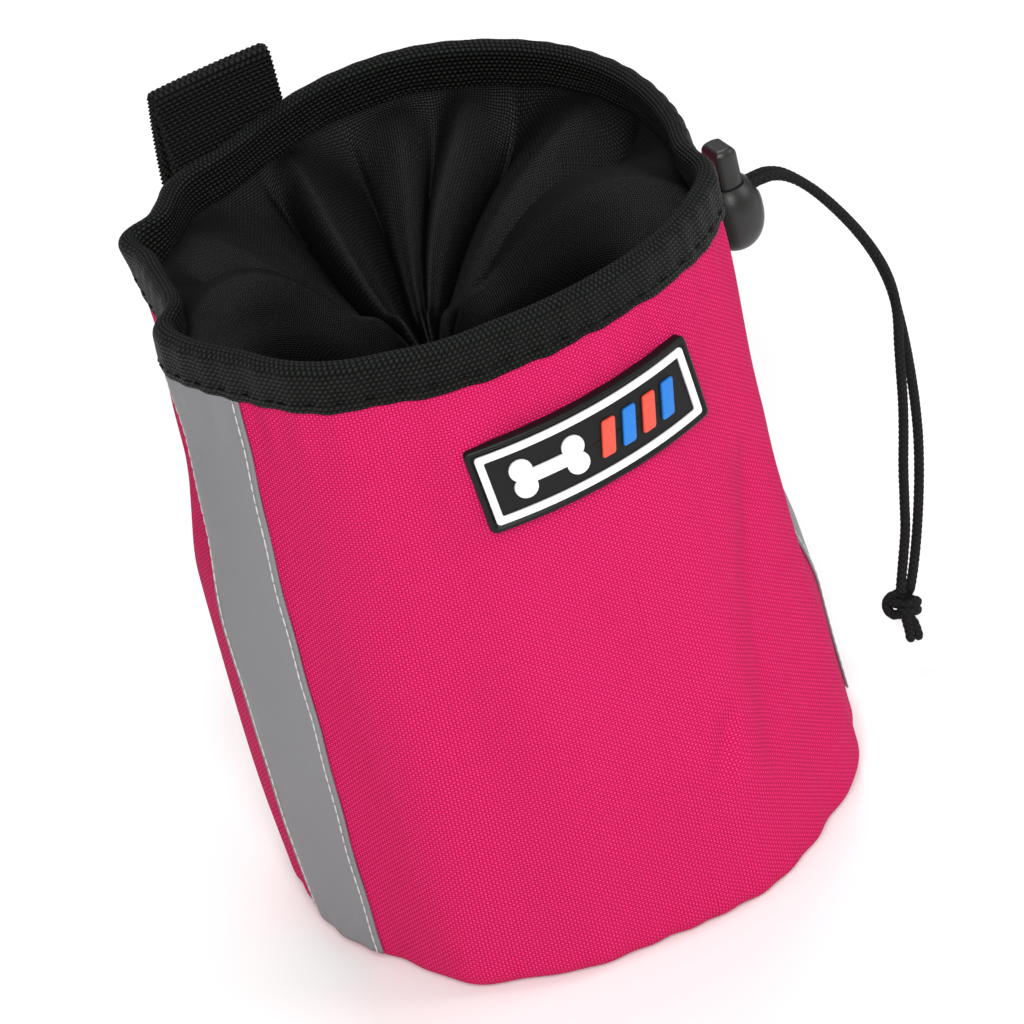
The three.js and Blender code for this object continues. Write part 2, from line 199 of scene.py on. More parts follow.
def face_outwards(piece: Piece) -> Piece:
    """Merges doubled points, turns every face outwards and shades the piece smooth.

    Args:
        piece: the object.

    Returns:
        The same object.
    """
    def change(work: bmesh.types.BMesh) -> None:
        """Merges the points and turns the faces."""
        bmesh.ops.remove_doubles(work, verts=work.verts, dist=MERGE_DISTANCE)
        bmesh.ops.recalc_face_normals(work, faces=work.faces)
    edit_mesh(piece, change)
    piece.data.shade_smooth()
    return piece


def turn_down(piece: Piece) -> None:
    """Turns every face of a flat piece downwards.

    Args:
        piece: an object.
    """
    def change(work: bmesh.types.BMesh) -> None:
        """Reverses the faces that look up."""
        bmesh.ops.reverse_faces(work, faces=[face for face in work.faces if face.normal.z > 0])
    edit_mesh(piece, change)


def settle_modifiers(piece: Piece) -> Piece:
    """Turns what an object's modifiers make into its plain mesh.

    Args:
        piece: the object.

    Returns:
        The same object, with no modifiers.
    """
    seen = piece.evaluated_get(bpy.context.evaluated_depsgraph_get())
    mesh = bpy.data.meshes.new_from_object(seen)
    piece.modifiers.clear()
    piece.data = mesh
    return piece


def thicken(piece: Piece, thickness: float, offset: float = -1) -> Piece:
    """Gives an open sheet its thickness: inwards, or both ways with offset 0.

    Args:
        piece: the sheet.
        thickness: how thick it becomes.
        offset: -1 for inwards, 0 for both ways.

    Returns:
        The same object.
    """
    wall = piece.modifiers.new("thickness", "SOLIDIFY")
    wall.thickness = thickness
    wall.offset = offset
    wall.use_quality_normals = True
    settle_modifiers(piece)
    piece.data.shade_smooth()
    return piece


def join(name: str, pieces: Sequence[Piece]) -> Piece:
    """Joins several objects into one of that name.

    Args:
        name: the new object's name.
        pieces: what is joined, and used up.

    Returns:
        The new object.
    """
    work = bmesh.new()
    for piece in pieces:
        work.from_mesh(piece.data)
    mesh = bpy.data.meshes.new(name)
    work.to_mesh(mesh)
    work.free()
    for piece in pieces:
        bpy.data.objects.remove(piece)
    made = new_object(name, mesh)
    mesh.shade_smooth()
    return made


def place(piece: Piece, move: Callable[[np.ndarray], np.ndarray]) -> Piece:
    """Moves every point of an object's mesh to where a function puts it.

    Args:
        piece: the object.
        move: gives the new points for the old ones.

    Returns:
        The same object.
    """
    points = np.empty(len(piece.data.vertices) * 3)
    piece.data.vertices.foreach_get("co", points)
    piece.data.vertices.foreach_set("co", move(points.reshape(-1, 3)).reshape(-1))
    piece.data.update()
    return piece


def ring_loft(name: str, rings: Sequence[np.ndarray], closed: bool = False) -> Piece:
    """Joins rings of points, all of one length, and fills the first and the last unless closed.

    Args:
        name: the object's name.
        rings: the rings, in order.
        closed: joins the last ring to the first.

    Returns:
        The new object.
    """
    points = np.stack(rings)
    run = np.cumsum(np.linalg.norm(np.diff(points[0], axis=0, append=points[0][:1]), axis=1))
    around = np.concatenate([[0], run])
    ring_height = 0.5 * MM
    uv = np.stack(np.meshgrid(around, np.arange(len(rings) + 1) * ring_height), -1)
    made = quad_grid(name, points, uv, wrap=True, close=closed)
    if not closed:
        def cap(work: bmesh.types.BMesh) -> None:
            """Fills the open ends."""
            bmesh.ops.holes_fill(work, edges=[edge for edge in work.edges if edge.is_boundary])
            bmesh.ops.triangulate(work, faces=[face for face in work.faces if len(face.verts) > 4])
        edit_mesh(made, cap)
    return face_outwards(made)


DOME = ((0.5, 0.8), (0.85, 0.4))


def tube(name: str, line: np.ndarray, radius: float, sides: int,
         relief: Callable[[np.ndarray, np.ndarray], np.ndarray] | None = None) -> Piece:
    """Sweeps a round section along a line, with its ends closed.

    Args:
        name: the object's name.
        line: the points of the centreline.
        radius: the section's radius.
        sides: how many points go round it.
        relief: how far the surface stands out, from the turn round it (0 to 1) and the length along it.

    Returns:
        The new object.
    """
    along = np.gradient(line, axis=0)
    along /= np.linalg.norm(along, axis=1)[:, None]
    side = np.zeros_like(line)
    askew = [0.3, 0.2, 1.0]
    start = np.cross(along[0], askew)
    side[0] = start / np.linalg.norm(start)
    for index in range(1, len(line)):
        carried = side[index - 1] - along[index] * np.dot(side[index - 1], along[index])
        side[index] = carried / np.linalg.norm(carried)
    other = np.cross(along, side)
    length = np.concatenate([[0], np.cumsum(np.linalg.norm(np.diff(line, axis=0), axis=1))])
    turn = np.arange(sides) / sides
    reach = np.full((len(line), sides), radius)
    if relief:
        reach = reach + relief(turn[None, :], length[:, None])
    angle = 2 * math.pi * turn[None, :, None]
    spokes = np.cos(angle) * side[:, None] + np.sin(angle) * other[:, None]
    points = line[:, None] + reach[..., None] * spokes
    first = [mix(points[0], line[0], 1 - wide) - along[0] * radius * far for far, wide in DOME]
    last = [mix(points[-1], line[-1], 1 - wide) + along[-1] * radius * far for far, wide in DOME]
    points = np.concatenate([np.stack(first[::-1]), points, np.stack(last)])
    ends = radius * np.array([far for far, _ in DOME])
    length = np.concatenate([length[0] - ends[::-1], length, length[-1] + ends])
    around = np.arange(sides + 1) / sides * 2 * math.pi * radius
    uv = np.stack(np.meshgrid(around, length), -1)
    made = quad_grid(name, points, uv, wrap=True)
    edit_mesh(made, lambda work: bmesh.ops.holes_fill(
        work, edges=[edge for edge in work.edges if edge.is_boundary]))
    return face_outwards(made)


# ---- Finishes ----


class Shade:
    """A socket in a material's nodes, on which Python's arithmetic adds Math nodes."""

    def __init__(self, paint: "Paint", socket: bpy.types.NodeSocket) -> None:
        """Keeps the material's nodes and the socket."""
        self.paint = paint
        self.socket = socket

    def __add__(self, other: "Shade | float") -> "Shade":
        """This and the other, added."""
        return self.paint.math("ADD", self, other)

    def __sub__(self, other: "Shade | float") -> "Shade":
        """This less the other."""
        return self.paint.math("SUBTRACT", self, other)

    def __rsub__(self, other: float) -> "Shade":
        """The other less this."""
        return self.paint.math("SUBTRACT", other, self)

    def __mul__(self, other: "Shade | float") -> "Shade":
        """This and the other, multiplied."""
        return self.paint.math("MULTIPLY", self, other)

    def __truediv__(self, other: "Shade | float") -> "Shade":
        """This divided by the other."""
        return self.paint.math("DIVIDE", self, other)

    def __pow__(self, other: "Shade | float") -> "Shade":
        """This raised to the other."""
        return self.paint.math("POWER", self, other)

    __radd__ = __add__
    __rmul__ = __mul__


Input = Shade | float | Sequence[float]


class Paint:
    """The nodes of one material, with a Principled shader at their end."""

    def __init__(self, name: str) -> None:
        """Starts a material of that name.

        Args:
            name: the material's name.
        """
        self.material = bpy.data.materials.new(name)
        self.material.use_nodes = True
        self.nodes = self.material.node_tree.nodes
        self.links = self.material.node_tree.links
        self.nodes.clear()
        self.shader = self.nodes.new("ShaderNodeBsdfPrincipled")
        output = self.nodes.new("ShaderNodeOutputMaterial")
        self.links.new(self.shader.outputs["BSDF"], output.inputs["Surface"])

    def fill(self, socket: bpy.types.NodeSocket, value: Input) -> None:
        """Links a socket to a shade, or sets it to a plain value.

        Args:
            socket: the socket.
            value: a shade or a plain value.
        """
        if isinstance(value, Shade):
            self.links.new(value.socket, socket)
        else:
            socket.default_value = value

    def node(self, kind: str, settings: dict | None = None, inputs: dict | None = None,
             output: int | str = 0) -> Shade:
        """Adds a node.

        Args:
            kind: the node's type.
            settings: what is set on the node itself, before its sockets.
            inputs: values or shades for its sockets, by name or number.
            output: the socket that is wanted.

        Returns:
            The wanted socket.
        """
        made = self.nodes.new(kind)
        for name, value in (settings or {}).items():
            setattr(made, name, value)
        for name, value in (inputs or {}).items():
            self.fill(made.inputs[name], value)
        return Shade(self, made.outputs[output])

    def math(self, operation: str, *values: Shade | float) -> Shade:
        """Adds a Math node."""
        return self.node("ShaderNodeMath", {"operation": operation}, dict(enumerate(values)))

    def blend(self, share: Input, first: Input, second: Input) -> Shade:
        """The colour that lies a share of the way from the first to the second."""
        return self.node("ShaderNodeMix", {"data_type": "RGBA", "clamp_factor": True},
                         {0: share, 6: first, 7: second}, output=2)

    def noise(self, where: Shade, scale: float, detail: float = 3.0) -> Shade:
        """Soft noise from 0 to 1."""
        return self.node("ShaderNodeTexNoise", {}, {"Vector": where, "Scale": scale, "Detail": detail})

    def spread(self, value: Shade, low: float, high: float) -> Shade:
        """0 where the value is below low, 1 above high, and soft between."""
        return self.node("ShaderNodeMapRange", {"interpolation_type": "SMOOTHSTEP"},
                         {"Value": value, "From Min": low, "From Max": high})

    def object_place(self) -> Shade:
        """The place on the piece, in the shared frame's metres."""
        return self.node("ShaderNodeTexCoord", output="Object")

    def flat_place(self) -> Shade:
        """The place on the flat cloth, in metres."""
        return self.node("ShaderNodeUVMap", {"uv_map": "flat"})

    def split(self, vector: Shade) -> tuple[Shade, Shade]:
        """The first two parts of a vector."""
        node = self.node("ShaderNodeSeparateXYZ", {}, {0: vector}).socket.node
        return Shade(self, node.outputs[0]), Shade(self, node.outputs[1])

    def relief(self, height: Shade, distance: float) -> Shade:
        """A bump whose height from 0 to 1 stands for a distance in metres."""
        return self.node("ShaderNodeBump", {}, {"Height": height, "Distance": distance})

    def finish(self, **sockets: Input) -> bpy.types.Material:
        """Sets the shader's sockets, with _ for a space, and gives the material.

        Args:
            sockets: values or shades by socket name.

        Returns:
            The material.
        """
        for name, value in sockets.items():
            self.fill(self.shader.inputs[name.replace("_", " ")], value)
        return self.material


@dataclass(frozen=True)
class Weave:
    """Threads that pass over and under each other.

    across and up are the spacing of the threads round and along the cloth, and weft is how proud the
    threads that run round stand beside the upright ones. With a twill, every row is shifted by that
    share of a thread, and each crossing stands as one pebble.
    """

    across: float
    up: float
    roundness: float = 0.6
    crown: float = 0.35
    weft: float = 1.0
    twill: float = 0.0

    def threads(self, paint: Paint, flat: Shade) -> tuple[Shade, Shade]:
        """The threads' height and a random number for each thread, both from 0 to 1.

        Args:
            paint: the material's nodes.
            flat: the place on the flat cloth.

        Returns:
            The height and the random number.
        """
        u, v = paint.split(flat)
        if self.twill:
            return self.pebbles(paint, u / self.across, v / self.up)
        return self.crossing(paint, u / self.across, v / self.up)

    def pebbles(self, paint: Paint, x: Shade, y: Shade) -> tuple[Shade, Shade]:
        """The height and the pebble's number where x and y count the pebbles.

        Args:
            paint: the material's nodes.
            x: pebbles round the cloth.
            y: rows of pebbles.

        Returns:
            The height and a random number for each pebble.
        """
        row = paint.math("FLOOR", y)
        shifted = x + row * self.twill
        across = paint.math("SINE", paint.math("FRACT", shifted) * math.pi)
        along = paint.math("SINE", paint.math("FRACT", y) * math.pi)
        height = across ** self.roundness * along ** self.crown
        number = paint.node("ShaderNodeCombineXYZ", {}, {0: paint.math("FLOOR", shifted), 1: row})
        random = paint.node("ShaderNodeTexWhiteNoise", {"noise_dimensions": "3D"}, {"Vector": number})
        return height, random

    def crossing(self, paint: Paint, x: Shade, y: Shade) -> tuple[Shade, Shade]:
        """The height and the thread's number where x and y count the threads.

        Args:
            paint: the material's nodes.
            x: threads round the cloth.
            y: threads along it.

        Returns:
            The height and a random number for each thread.
        """
        column, row = paint.math("FLOOR", x), paint.math("FLOOR", y)
        over = paint.math("FLOORED_MODULO", column + row, 2.0)
        across = paint.math("SINE", paint.math("FRACT", x) * math.pi)
        along = paint.math("SINE", paint.math("FRACT", y) * math.pi)
        upright = across ** self.roundness * along ** self.crown
        level = along ** self.roundness * across ** self.crown
        height = over * upright + (1 - over) * level * self.weft
        number = paint.node("ShaderNodeCombineXYZ", {}, {
            0: column * over, 1: row * (1 - over), 2: over})
        random = paint.node("ShaderNodeTexWhiteNoise", {"noise_dimensions": "3D"}, {"Vector": number})
        return height, random


@dataclass(frozen=True)
class WovenFinish:
    """A woven cloth: the colour of its threads, a dark colour painted as shade in the gaps between them, and
    its feel.
    """

    name: str
    thread: tuple[float, float, float]
    # The dark colour painted as shade in the gaps between the threads.
    shaded_gap: tuple[float, float, float]
    weave: Weave
    depth: float
    roughness: float
    specular: float
    variation: float
    worn: float
    cloud_scale: float = 45
    fibre_scale: float = 2600
    fibre_share: float = 0.2
    fibre_relief: float = 0.12
    rough_spread: float = 0.12

    def make(self) -> bpy.types.Material:
        """Builds the material.

        Returns:
            The material.
        """
        paint = Paint(self.name)
        height, random = self.weave.threads(paint, paint.flat_place())
        where = paint.object_place()
        cloud = paint.noise(where, self.cloud_scale)
        fibre = paint.noise(where, self.fibre_scale, detail=2)
        # Painted shade: the lower a thread lies, the more its colour goes towards the dark gap colour, so the
        # gaps and the lower threads, such as the weft, read as shaded and only the thread tops keep the full
        # thread colour.
        top = paint.spread(height, 0.25, 0.95)
        light = tuple(min(1.0, part * (1 + self.worn)) for part in self.thread)
        threads = paint.blend(random * self.variation + cloud * self.worn, (*self.thread, 1), (*light, 1))
        # The painted light share: high on the thread tops, low in the shaded gaps, broken up a little by
        # fibre noise.
        lit = top * (1 - self.fibre_share + self.fibre_share * fibre)
        colour = paint.blend(lit, (*self.shaded_gap, 1), threads)
        rough = self.roughness + self.rough_spread * (cloud - 0.5)
        return paint.finish(
            Base_Color=colour,
            Roughness=rough,
            Specular_IOR_Level=self.specular,
            Normal=paint.relief(height + self.fibre_relief * fibre, self.depth))


@dataclass(frozen=True)
class MouldedFinish:
    """A moulded plastic or soft rubber: its colour, gloss and fine grain."""

    name: str
    colour: tuple[float, float, float]
    roughness: float
    grain: float = 0.02 * MM
    specular: float = 0.4
    cloud_scale: float = 160
    grain_scale: float = 3200
    scuff_scale: float = 420
    dullness: float = 0.82

    def make(self) -> bpy.types.Material:
        """Builds the material.

        Returns:
            The material.
        """
        paint = Paint(self.name)
        where = paint.object_place()
        cloud = paint.noise(where, self.cloud_scale)
        grain = paint.noise(where, self.grain_scale, detail=2)
        dull = tuple(part * self.dullness for part in self.colour)
        scuff = paint.spread(paint.noise(where, self.scuff_scale, detail=5), 0.56, 0.72)
        return paint.finish(
            Base_Color=paint.blend(cloud, (*dull, 1), (*self.colour, 1)),
            Roughness=self.roughness + 0.14 * (cloud - 0.5) + 0.08 * scuff,
            Specular_IOR_Level=self.specular,
            Normal=paint.relief(grain, self.grain))


@dataclass(frozen=True)
class BraidFinish:
    """A round braided cord: slanting threads that cross round it, with shade painted into the gaps between
    them.
    """

    name: str
    thread: tuple[float, float, float]
    # The dark colour painted as shade in the gaps between the braid's threads.
    shaded_gap: tuple[float, float, float]
    girth: float
    strands: int
    pitch: float
    fibre_scale: float = 3800
    depth: float = 0.12 * MM

    def make(self) -> bpy.types.Material:
        """Builds the material.

        Returns:
            The material.
        """
        paint = Paint(self.name)
        u, v = paint.split(paint.flat_place())
        turn, climb = u * (self.strands / self.girth), v / self.pitch
        weave = Weave(across=1, up=1, roundness=0.7, crown=0.3)
        above_zero = 500.0
        height, random = weave.crossing(paint, turn + climb + above_zero, climb - turn + above_zero)
        fibre = paint.noise(paint.object_place(), self.fibre_scale, detail=2)
        light = tuple(1.5 * part for part in self.thread)
        threads = paint.blend(random * 0.6, (*self.thread, 1), (*light, 1))
        # Painted shade: where the braid's threads sink, the base colour goes towards the dark gap colour.
        return paint.finish(
            Base_Color=paint.blend(height * (0.75 + 0.25 * fibre), (*self.shaded_gap, 1), threads),
            Roughness=0.8 + 0.15 * (fibre - 0.5),
            Specular_IOR_Level=0.2,
            Normal=paint.relief(height + 0.3 * fibre, self.depth))


@dataclass(frozen=True)
class TapeFinish:
    """Reflective tape: a grey bead coating on cloth, with fine creases and a faint cross grain."""

    name: str
    colour: tuple[float, float, float]
    bead_scale: float = 5200
    cloud_scale: float = 60
    rub_scale: float = 110
    thread_pitch: float = 0.8 * MM
    darkness: float = 0.8
    depth: float = 0.03 * MM

    def make(self) -> bpy.types.Material:
        """Builds the material.

        Returns:
            The material.
        """
        paint = Paint(self.name)
        where = paint.object_place()
        u, v = paint.split(paint.flat_place())
        bead = paint.noise(where, self.bead_scale, detail=1)
        cloud = paint.noise(where, self.cloud_scale)
        waves = 2 * math.pi / self.thread_pitch
        cloth = paint.math("SINE", v * waves) * paint.math("SINE", u * waves)
        dark = tuple(part * self.darkness for part in self.colour)
        rub = paint.noise(where, self.rub_scale, detail=6)
        return paint.finish(
            Base_Color=paint.blend(0.2 + 0.4 * cloud + 0.2 * bead + 0.3 * rub, (*dark, 1), (*self.colour, 1)),
            Roughness=0.42 + 0.14 * bead + 0.15 * rub,
            Metallic=0.25 + 0.1 * cloud,
            Specular_IOR_Level=0.5,
            Normal=paint.relief(cloth * 0.5 + bead * 0.6, self.depth))


@dataclass(frozen=True)
class SteelFinish:
    """Drawn spring wire with fine lines along it."""

    name: str
    dark: tuple[float, float, float] = (0.42, 0.43, 0.45)
    light: tuple[float, float, float] = (0.62, 0.63, 0.64)
    line_scale: float = 2400
    depth: float = 0.01 * MM

    def make(self) -> bpy.types.Material:
        """Builds the material.

        Returns:
            The material.
        """
        paint = Paint(self.name)
        noise = paint.noise(paint.object_place(), self.line_scale, detail=3)
        return paint.finish(
            Base_Color=paint.blend(noise, (*self.dark, 1), (*self.light, 1)),
            Metallic=1.0,
            Roughness=0.25 + 0.15 * noise,
            Normal=paint.relief(noise, self.depth))


class Finish(Enum):
    """Every finish on the pouch, with the material slot of the record that it belongs to."""

    SHELL = "shell_cloth"
    LINING = "lining_cloth"
    BINDING = "binding_tape"
    CORD = "cord"
    WEBBING = "webbing"
    TAPE = "reflective_tape"
    LABEL_BLACK = "label_black"
    LABEL_WHITE = "label_white"
    LABEL_ORANGE = "label_orange"
    LABEL_BLUE = "label_blue"
    LOCK = "lock_plastic"
    STEEL = "spring_steel"
    PALE_THREAD = "pale_thread"
    BLACK_THREAD = "black_thread"
    SHELL_THREAD = "shell_thread"


CORD_DIAMETER = 2 * MM
CORD_BRAID = {"strands": 4, "pitch": 1.15 * MM}
BINDING_PEBBLE = 0.96 * MM
WEBBING_PEBBLE = (1.155 * MM, 1.0 * MM)


def make_finishes() -> dict[Finish, bpy.types.Material]:
    """Builds every material once.

    Returns:
        The material of each finish.
    """
    # In each woven and braided recipe, the second, darker colour is painted shade for the gaps between the
    # threads.
    recipes = {
        Finish.SHELL: WovenFinish(
            "shell_cloth", thread=(0.86, 0.033, 0.185), shaded_gap=(0.42, 0.005, 0.064),
            weave=Weave(0.60 * MM, 0.50 * MM, weft=0.6), depth=0.2 * MM, roughness=0.85,
            specular=0.08, variation=0.5, worn=0.14),
        Finish.LINING: WovenFinish(
            "lining_cloth", thread=(0.0044, 0.0046, 0.0041), shaded_gap=(0.0003, 0.0003, 0.0003),
            weave=Weave(0.52 * MM, 0.46 * MM, weft=0.6), depth=0.13 * MM, roughness=0.4,
            specular=0.13, variation=0.8, worn=0.7),
        Finish.BINDING: WovenFinish(
            "binding_tape", thread=(0.0088, 0.0112, 0.0084), shaded_gap=(0.0004, 0.0004, 0.0004),
            weave=Weave(1.05 * MM, 0.86 * MM, roundness=0.9, crown=0.9, twill=0.34),
            depth=0.7 * MM, roughness=0.55, specular=0.16, variation=1.0, worn=0.9),
        Finish.WEBBING: WovenFinish(
            "webbing", thread=(0.0045, 0.006, 0.0045), shaded_gap=(0.0002, 0.0002, 0.0002),
            weave=Weave(1.2 * MM, 0.85 * MM, roundness=0.8, crown=0.8, twill=0.42),
            depth=0.5 * MM, roughness=0.55, specular=0.16, variation=1.0, worn=0.9),
        Finish.CORD: BraidFinish(
            "cord", thread=(0.0075, 0.008, 0.0075), shaded_gap=(0.0006, 0.0006, 0.0006),
            girth=math.pi * CORD_DIAMETER, **CORD_BRAID),
        Finish.TAPE: TapeFinish("reflective_tape", (0.215, 0.213, 0.228)),
        Finish.LABEL_BLACK: MouldedFinish("label_black", (0.0055, 0.0055, 0.0055), 0.45, specular=0.2),
        Finish.LABEL_WHITE: MouldedFinish("label_white", (0.90, 0.90, 0.89), 0.5),
        Finish.LABEL_ORANGE: MouldedFinish("label_orange", (0.80, 0.075, 0.045), 0.5),
        Finish.LABEL_BLUE: MouldedFinish("label_blue", (0.010, 0.17, 0.58), 0.5),
        Finish.LOCK: MouldedFinish("lock_plastic", (0.011, 0.0108, 0.0100), 0.4, specular=0.42),
        Finish.STEEL: SteelFinish("spring_steel"),
        Finish.PALE_THREAD: MouldedFinish("pale_thread", (0.56, 0.54, 0.53), 0.8, grain=0.03 * MM),
        Finish.BLACK_THREAD: MouldedFinish("black_thread", (0.004, 0.004, 0.004), 0.75, 0.03 * MM, 0.1),
        Finish.SHELL_THREAD: MouldedFinish("shell_thread", (0.55, 0.012, 0.085), 0.8, grain=0.03 * MM),
    }
    return {finish: recipe.make() for finish, recipe in recipes.items()}


@dataclass
class Workshop:
    """What every sub-assembly shares: the materials, and how a finished piece is handed over."""

    materials: dict[Finish, bpy.types.Material]

    def dress(self, piece: Piece, finish: Finish, body: str,
              replaces: Sequence[str] = ()) -> Piece:
        """Gives a piece its material and its place among the bodies.

        Args:
            piece: the finished object.
            finish: what it is made of.
            body: the body that it moves with.
            replaces: the frame's nodes that it stands for.

        Returns:
            The same object.
        """
        piece.data.materials.clear()
        piece.data.materials.append(self.materials[finish])
        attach(piece, body)
        if replaces:
            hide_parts(*replaces)
        log.info("%s: %d faces, %s", piece.name, len(piece.data.polygons), finish.value)
        return piece


# ---- Stitches ----


class StitchTree:
    """Geometry Nodes that lay a row of thread stitches along every curve of an object."""

    SIZES = ("Pitch", "Stitch Length", "Thread")

    def __init__(self) -> None:
        """Builds the tree."""
        self.tree = bpy.data.node_groups.new("stitch_row", "GeometryNodeTree")
        face = self.tree.interface
        face.new_socket("Geometry", in_out="INPUT", socket_type="NodeSocketGeometry")
        for name in self.SIZES:
            face.new_socket(name, in_out="INPUT", socket_type="NodeSocketFloat")
        face.new_socket("Seed", in_out="INPUT", socket_type="NodeSocketInt")
        face.new_socket("Finish", in_out="INPUT", socket_type="NodeSocketMaterial")
        face.new_socket("Geometry", in_out="OUTPUT", socket_type="NodeSocketGeometry")
        given = self.tree.nodes.new("NodeGroupInput").outputs
        points = self.add("GeometryNodeCurveToPoints", {"mode": "LENGTH"}, {
            "Curve": given["Geometry"], "Length": given["Pitch"]})
        ball = self.add("GeometryNodeMeshUVSphere", {}, {"Segments": 6, "Rings": 5, "Radius": 0.5})
        size = self.add("ShaderNodeCombineXYZ", {}, {
            "X": given["Thread"], "Y": given["Thread"], "Z": given["Stitch Length"]})
        stitch = self.add("GeometryNodeTransform", {}, {
            "Geometry": ball.outputs["Mesh"], "Scale": size.outputs["Vector"]})
        uneven = self.add("FunctionNodeRandomValue", {"data_type": "FLOAT_VECTOR"}, {
            "Min": (0.9, 0.9, 0.9), "Max": (1.12, 1.12, 1.06), "Seed": given["Seed"]})
        row = self.add("GeometryNodeInstanceOnPoints", {}, {
            "Points": points.outputs["Points"], "Instance": stitch.outputs["Geometry"],
            "Rotation": points.outputs["Rotation"], "Scale": uneven.outputs["Value"]})
        smooth = self.add("GeometryNodeSetShadeSmooth", {}, {"Geometry": row.outputs["Instances"]})
        real = self.add("GeometryNodeRealizeInstances", {}, {"Geometry": smooth.outputs["Geometry"]})
        dressed = self.add("GeometryNodeSetMaterial", {}, {
            "Geometry": real.outputs["Geometry"], "Material": given["Finish"]})
        output = self.tree.nodes.new("NodeGroupOutput")
        self.tree.links.new(dressed.outputs["Geometry"], output.inputs["Geometry"])

    def add(self, kind: str, settings: dict, inputs: dict) -> bpy.types.Node:
        """Adds a node with its settings, and links or values for its sockets.

        Args:
            kind: the node's type.
            settings: what is set on the node.
            inputs: its sockets by name.

        Returns:
            The node.
        """
        node = self.tree.nodes.new(kind)
        for name, value in settings.items():
            setattr(node, name, value)
        for name, value in inputs.items():
            if isinstance(value, bpy.types.NodeSocket):
                self.tree.links.new(value, node.inputs[name])
            else:
                node.inputs[name].default_value = value
        return node

    def sew(self, name: str, routes: Sequence[np.ndarray], material: bpy.types.Material, pitch: float,
            length: float, thread: float, seed: int) -> Piece:
        """Lays stitches along routes.

        Args:
            name: the new object's name.
            routes: lines of points that the stitches follow.
            material: the thread's material.
            pitch: the distance from one stitch to the next.
            length: the length of one stitch.
            thread: the thread's thickness.
            seed: fixes how uneven the stitches are.

        Returns:
            An object with every stitch as plain mesh.
        """
        line = bpy.data.curves.new(name, "CURVE")
        line.dimensions = "3D"
        for route in routes:
            spline = line.splines.new("POLY")
            spline.points.add(len(route) - 1)
            spline.points.foreach_set("co", np.hstack([route, np.ones((len(route), 1))]).reshape(-1))
        guide = bpy.data.objects.new(name + "_guide", line)
        bpy.context.scene.collection.objects.link(guide)
        stitching = guide.modifiers.new("stitches", "NODES")
        stitching.node_group = self.tree
        values = {"Pitch": pitch, "Stitch Length": length, "Thread": thread, "Seed": seed, "Finish": material}
        for item in self.tree.interface.items_tree:
            if item.in_out == "INPUT" and item.name in values:
                stitching[item.identifier] = values[item.name]
        seen = guide.evaluated_get(bpy.context.evaluated_depsgraph_get())
        mesh = bpy.data.meshes.new_from_object(seen)
        bpy.data.objects.remove(guide)
        return new_object(name, mesh)


# ---- The soft shape of the bag ----


@dataclass(frozen=True)
class Bend:
    """A place where the wall is pushed out or in: angle and spread in degrees, push in metres."""

    at: float
    spread: float
    push: float

    def amount(self, angle: np.ndarray) -> np.ndarray:
        """The push at angles in radians."""
        turn = (np.degrees(angle) - self.at + 180) % 360 - 180
        return self.push * np.exp(-(turn / self.spread) ** 2)


@dataclass(frozen=True)
class Crease:
    """A soft fold in the wall along a line between two places, each an angle in degrees and a height.

    With step, one side of the line stands prouder than the other, as where slack cloth laps over.
    """

    start: tuple[float, float]
    end: tuple[float, float]
    width: float
    push: float
    step: float = 0.0

    def amount(self, angle: np.ndarray, z: np.ndarray, radius: float) -> np.ndarray:
        """The push at places on the wall.

        Args:
            angle: radians round the pouch.
            z: heights.
            radius: the wall's radius.

        Returns:
            The push, outwards.
        """
        turn = (angle - math.radians(self.start[0]) + math.pi) % (2 * math.pi) - math.pi
        across, up = turn * radius, z - self.start[1]
        run = math.radians(self.end[0] - self.start[0]) * radius
        climb = self.end[1] - self.start[1]
        length = math.hypot(run, climb)
        along = (across * run + up * climb) / length
        off = (across * climb - up * run) / length
        begins = smooth_step(-0.35 * length, 0.25 * length, along)
        stops = smooth_step(0.75 * length, 1.35 * length, along)
        ridge = np.exp(-(off / self.width) ** 2)
        side = np.exp(-(off / (3 * self.width)) ** 2) * np.tanh(off / self.width)
        return begins * (1 - stops) * (self.push * ridge + self.step * side)


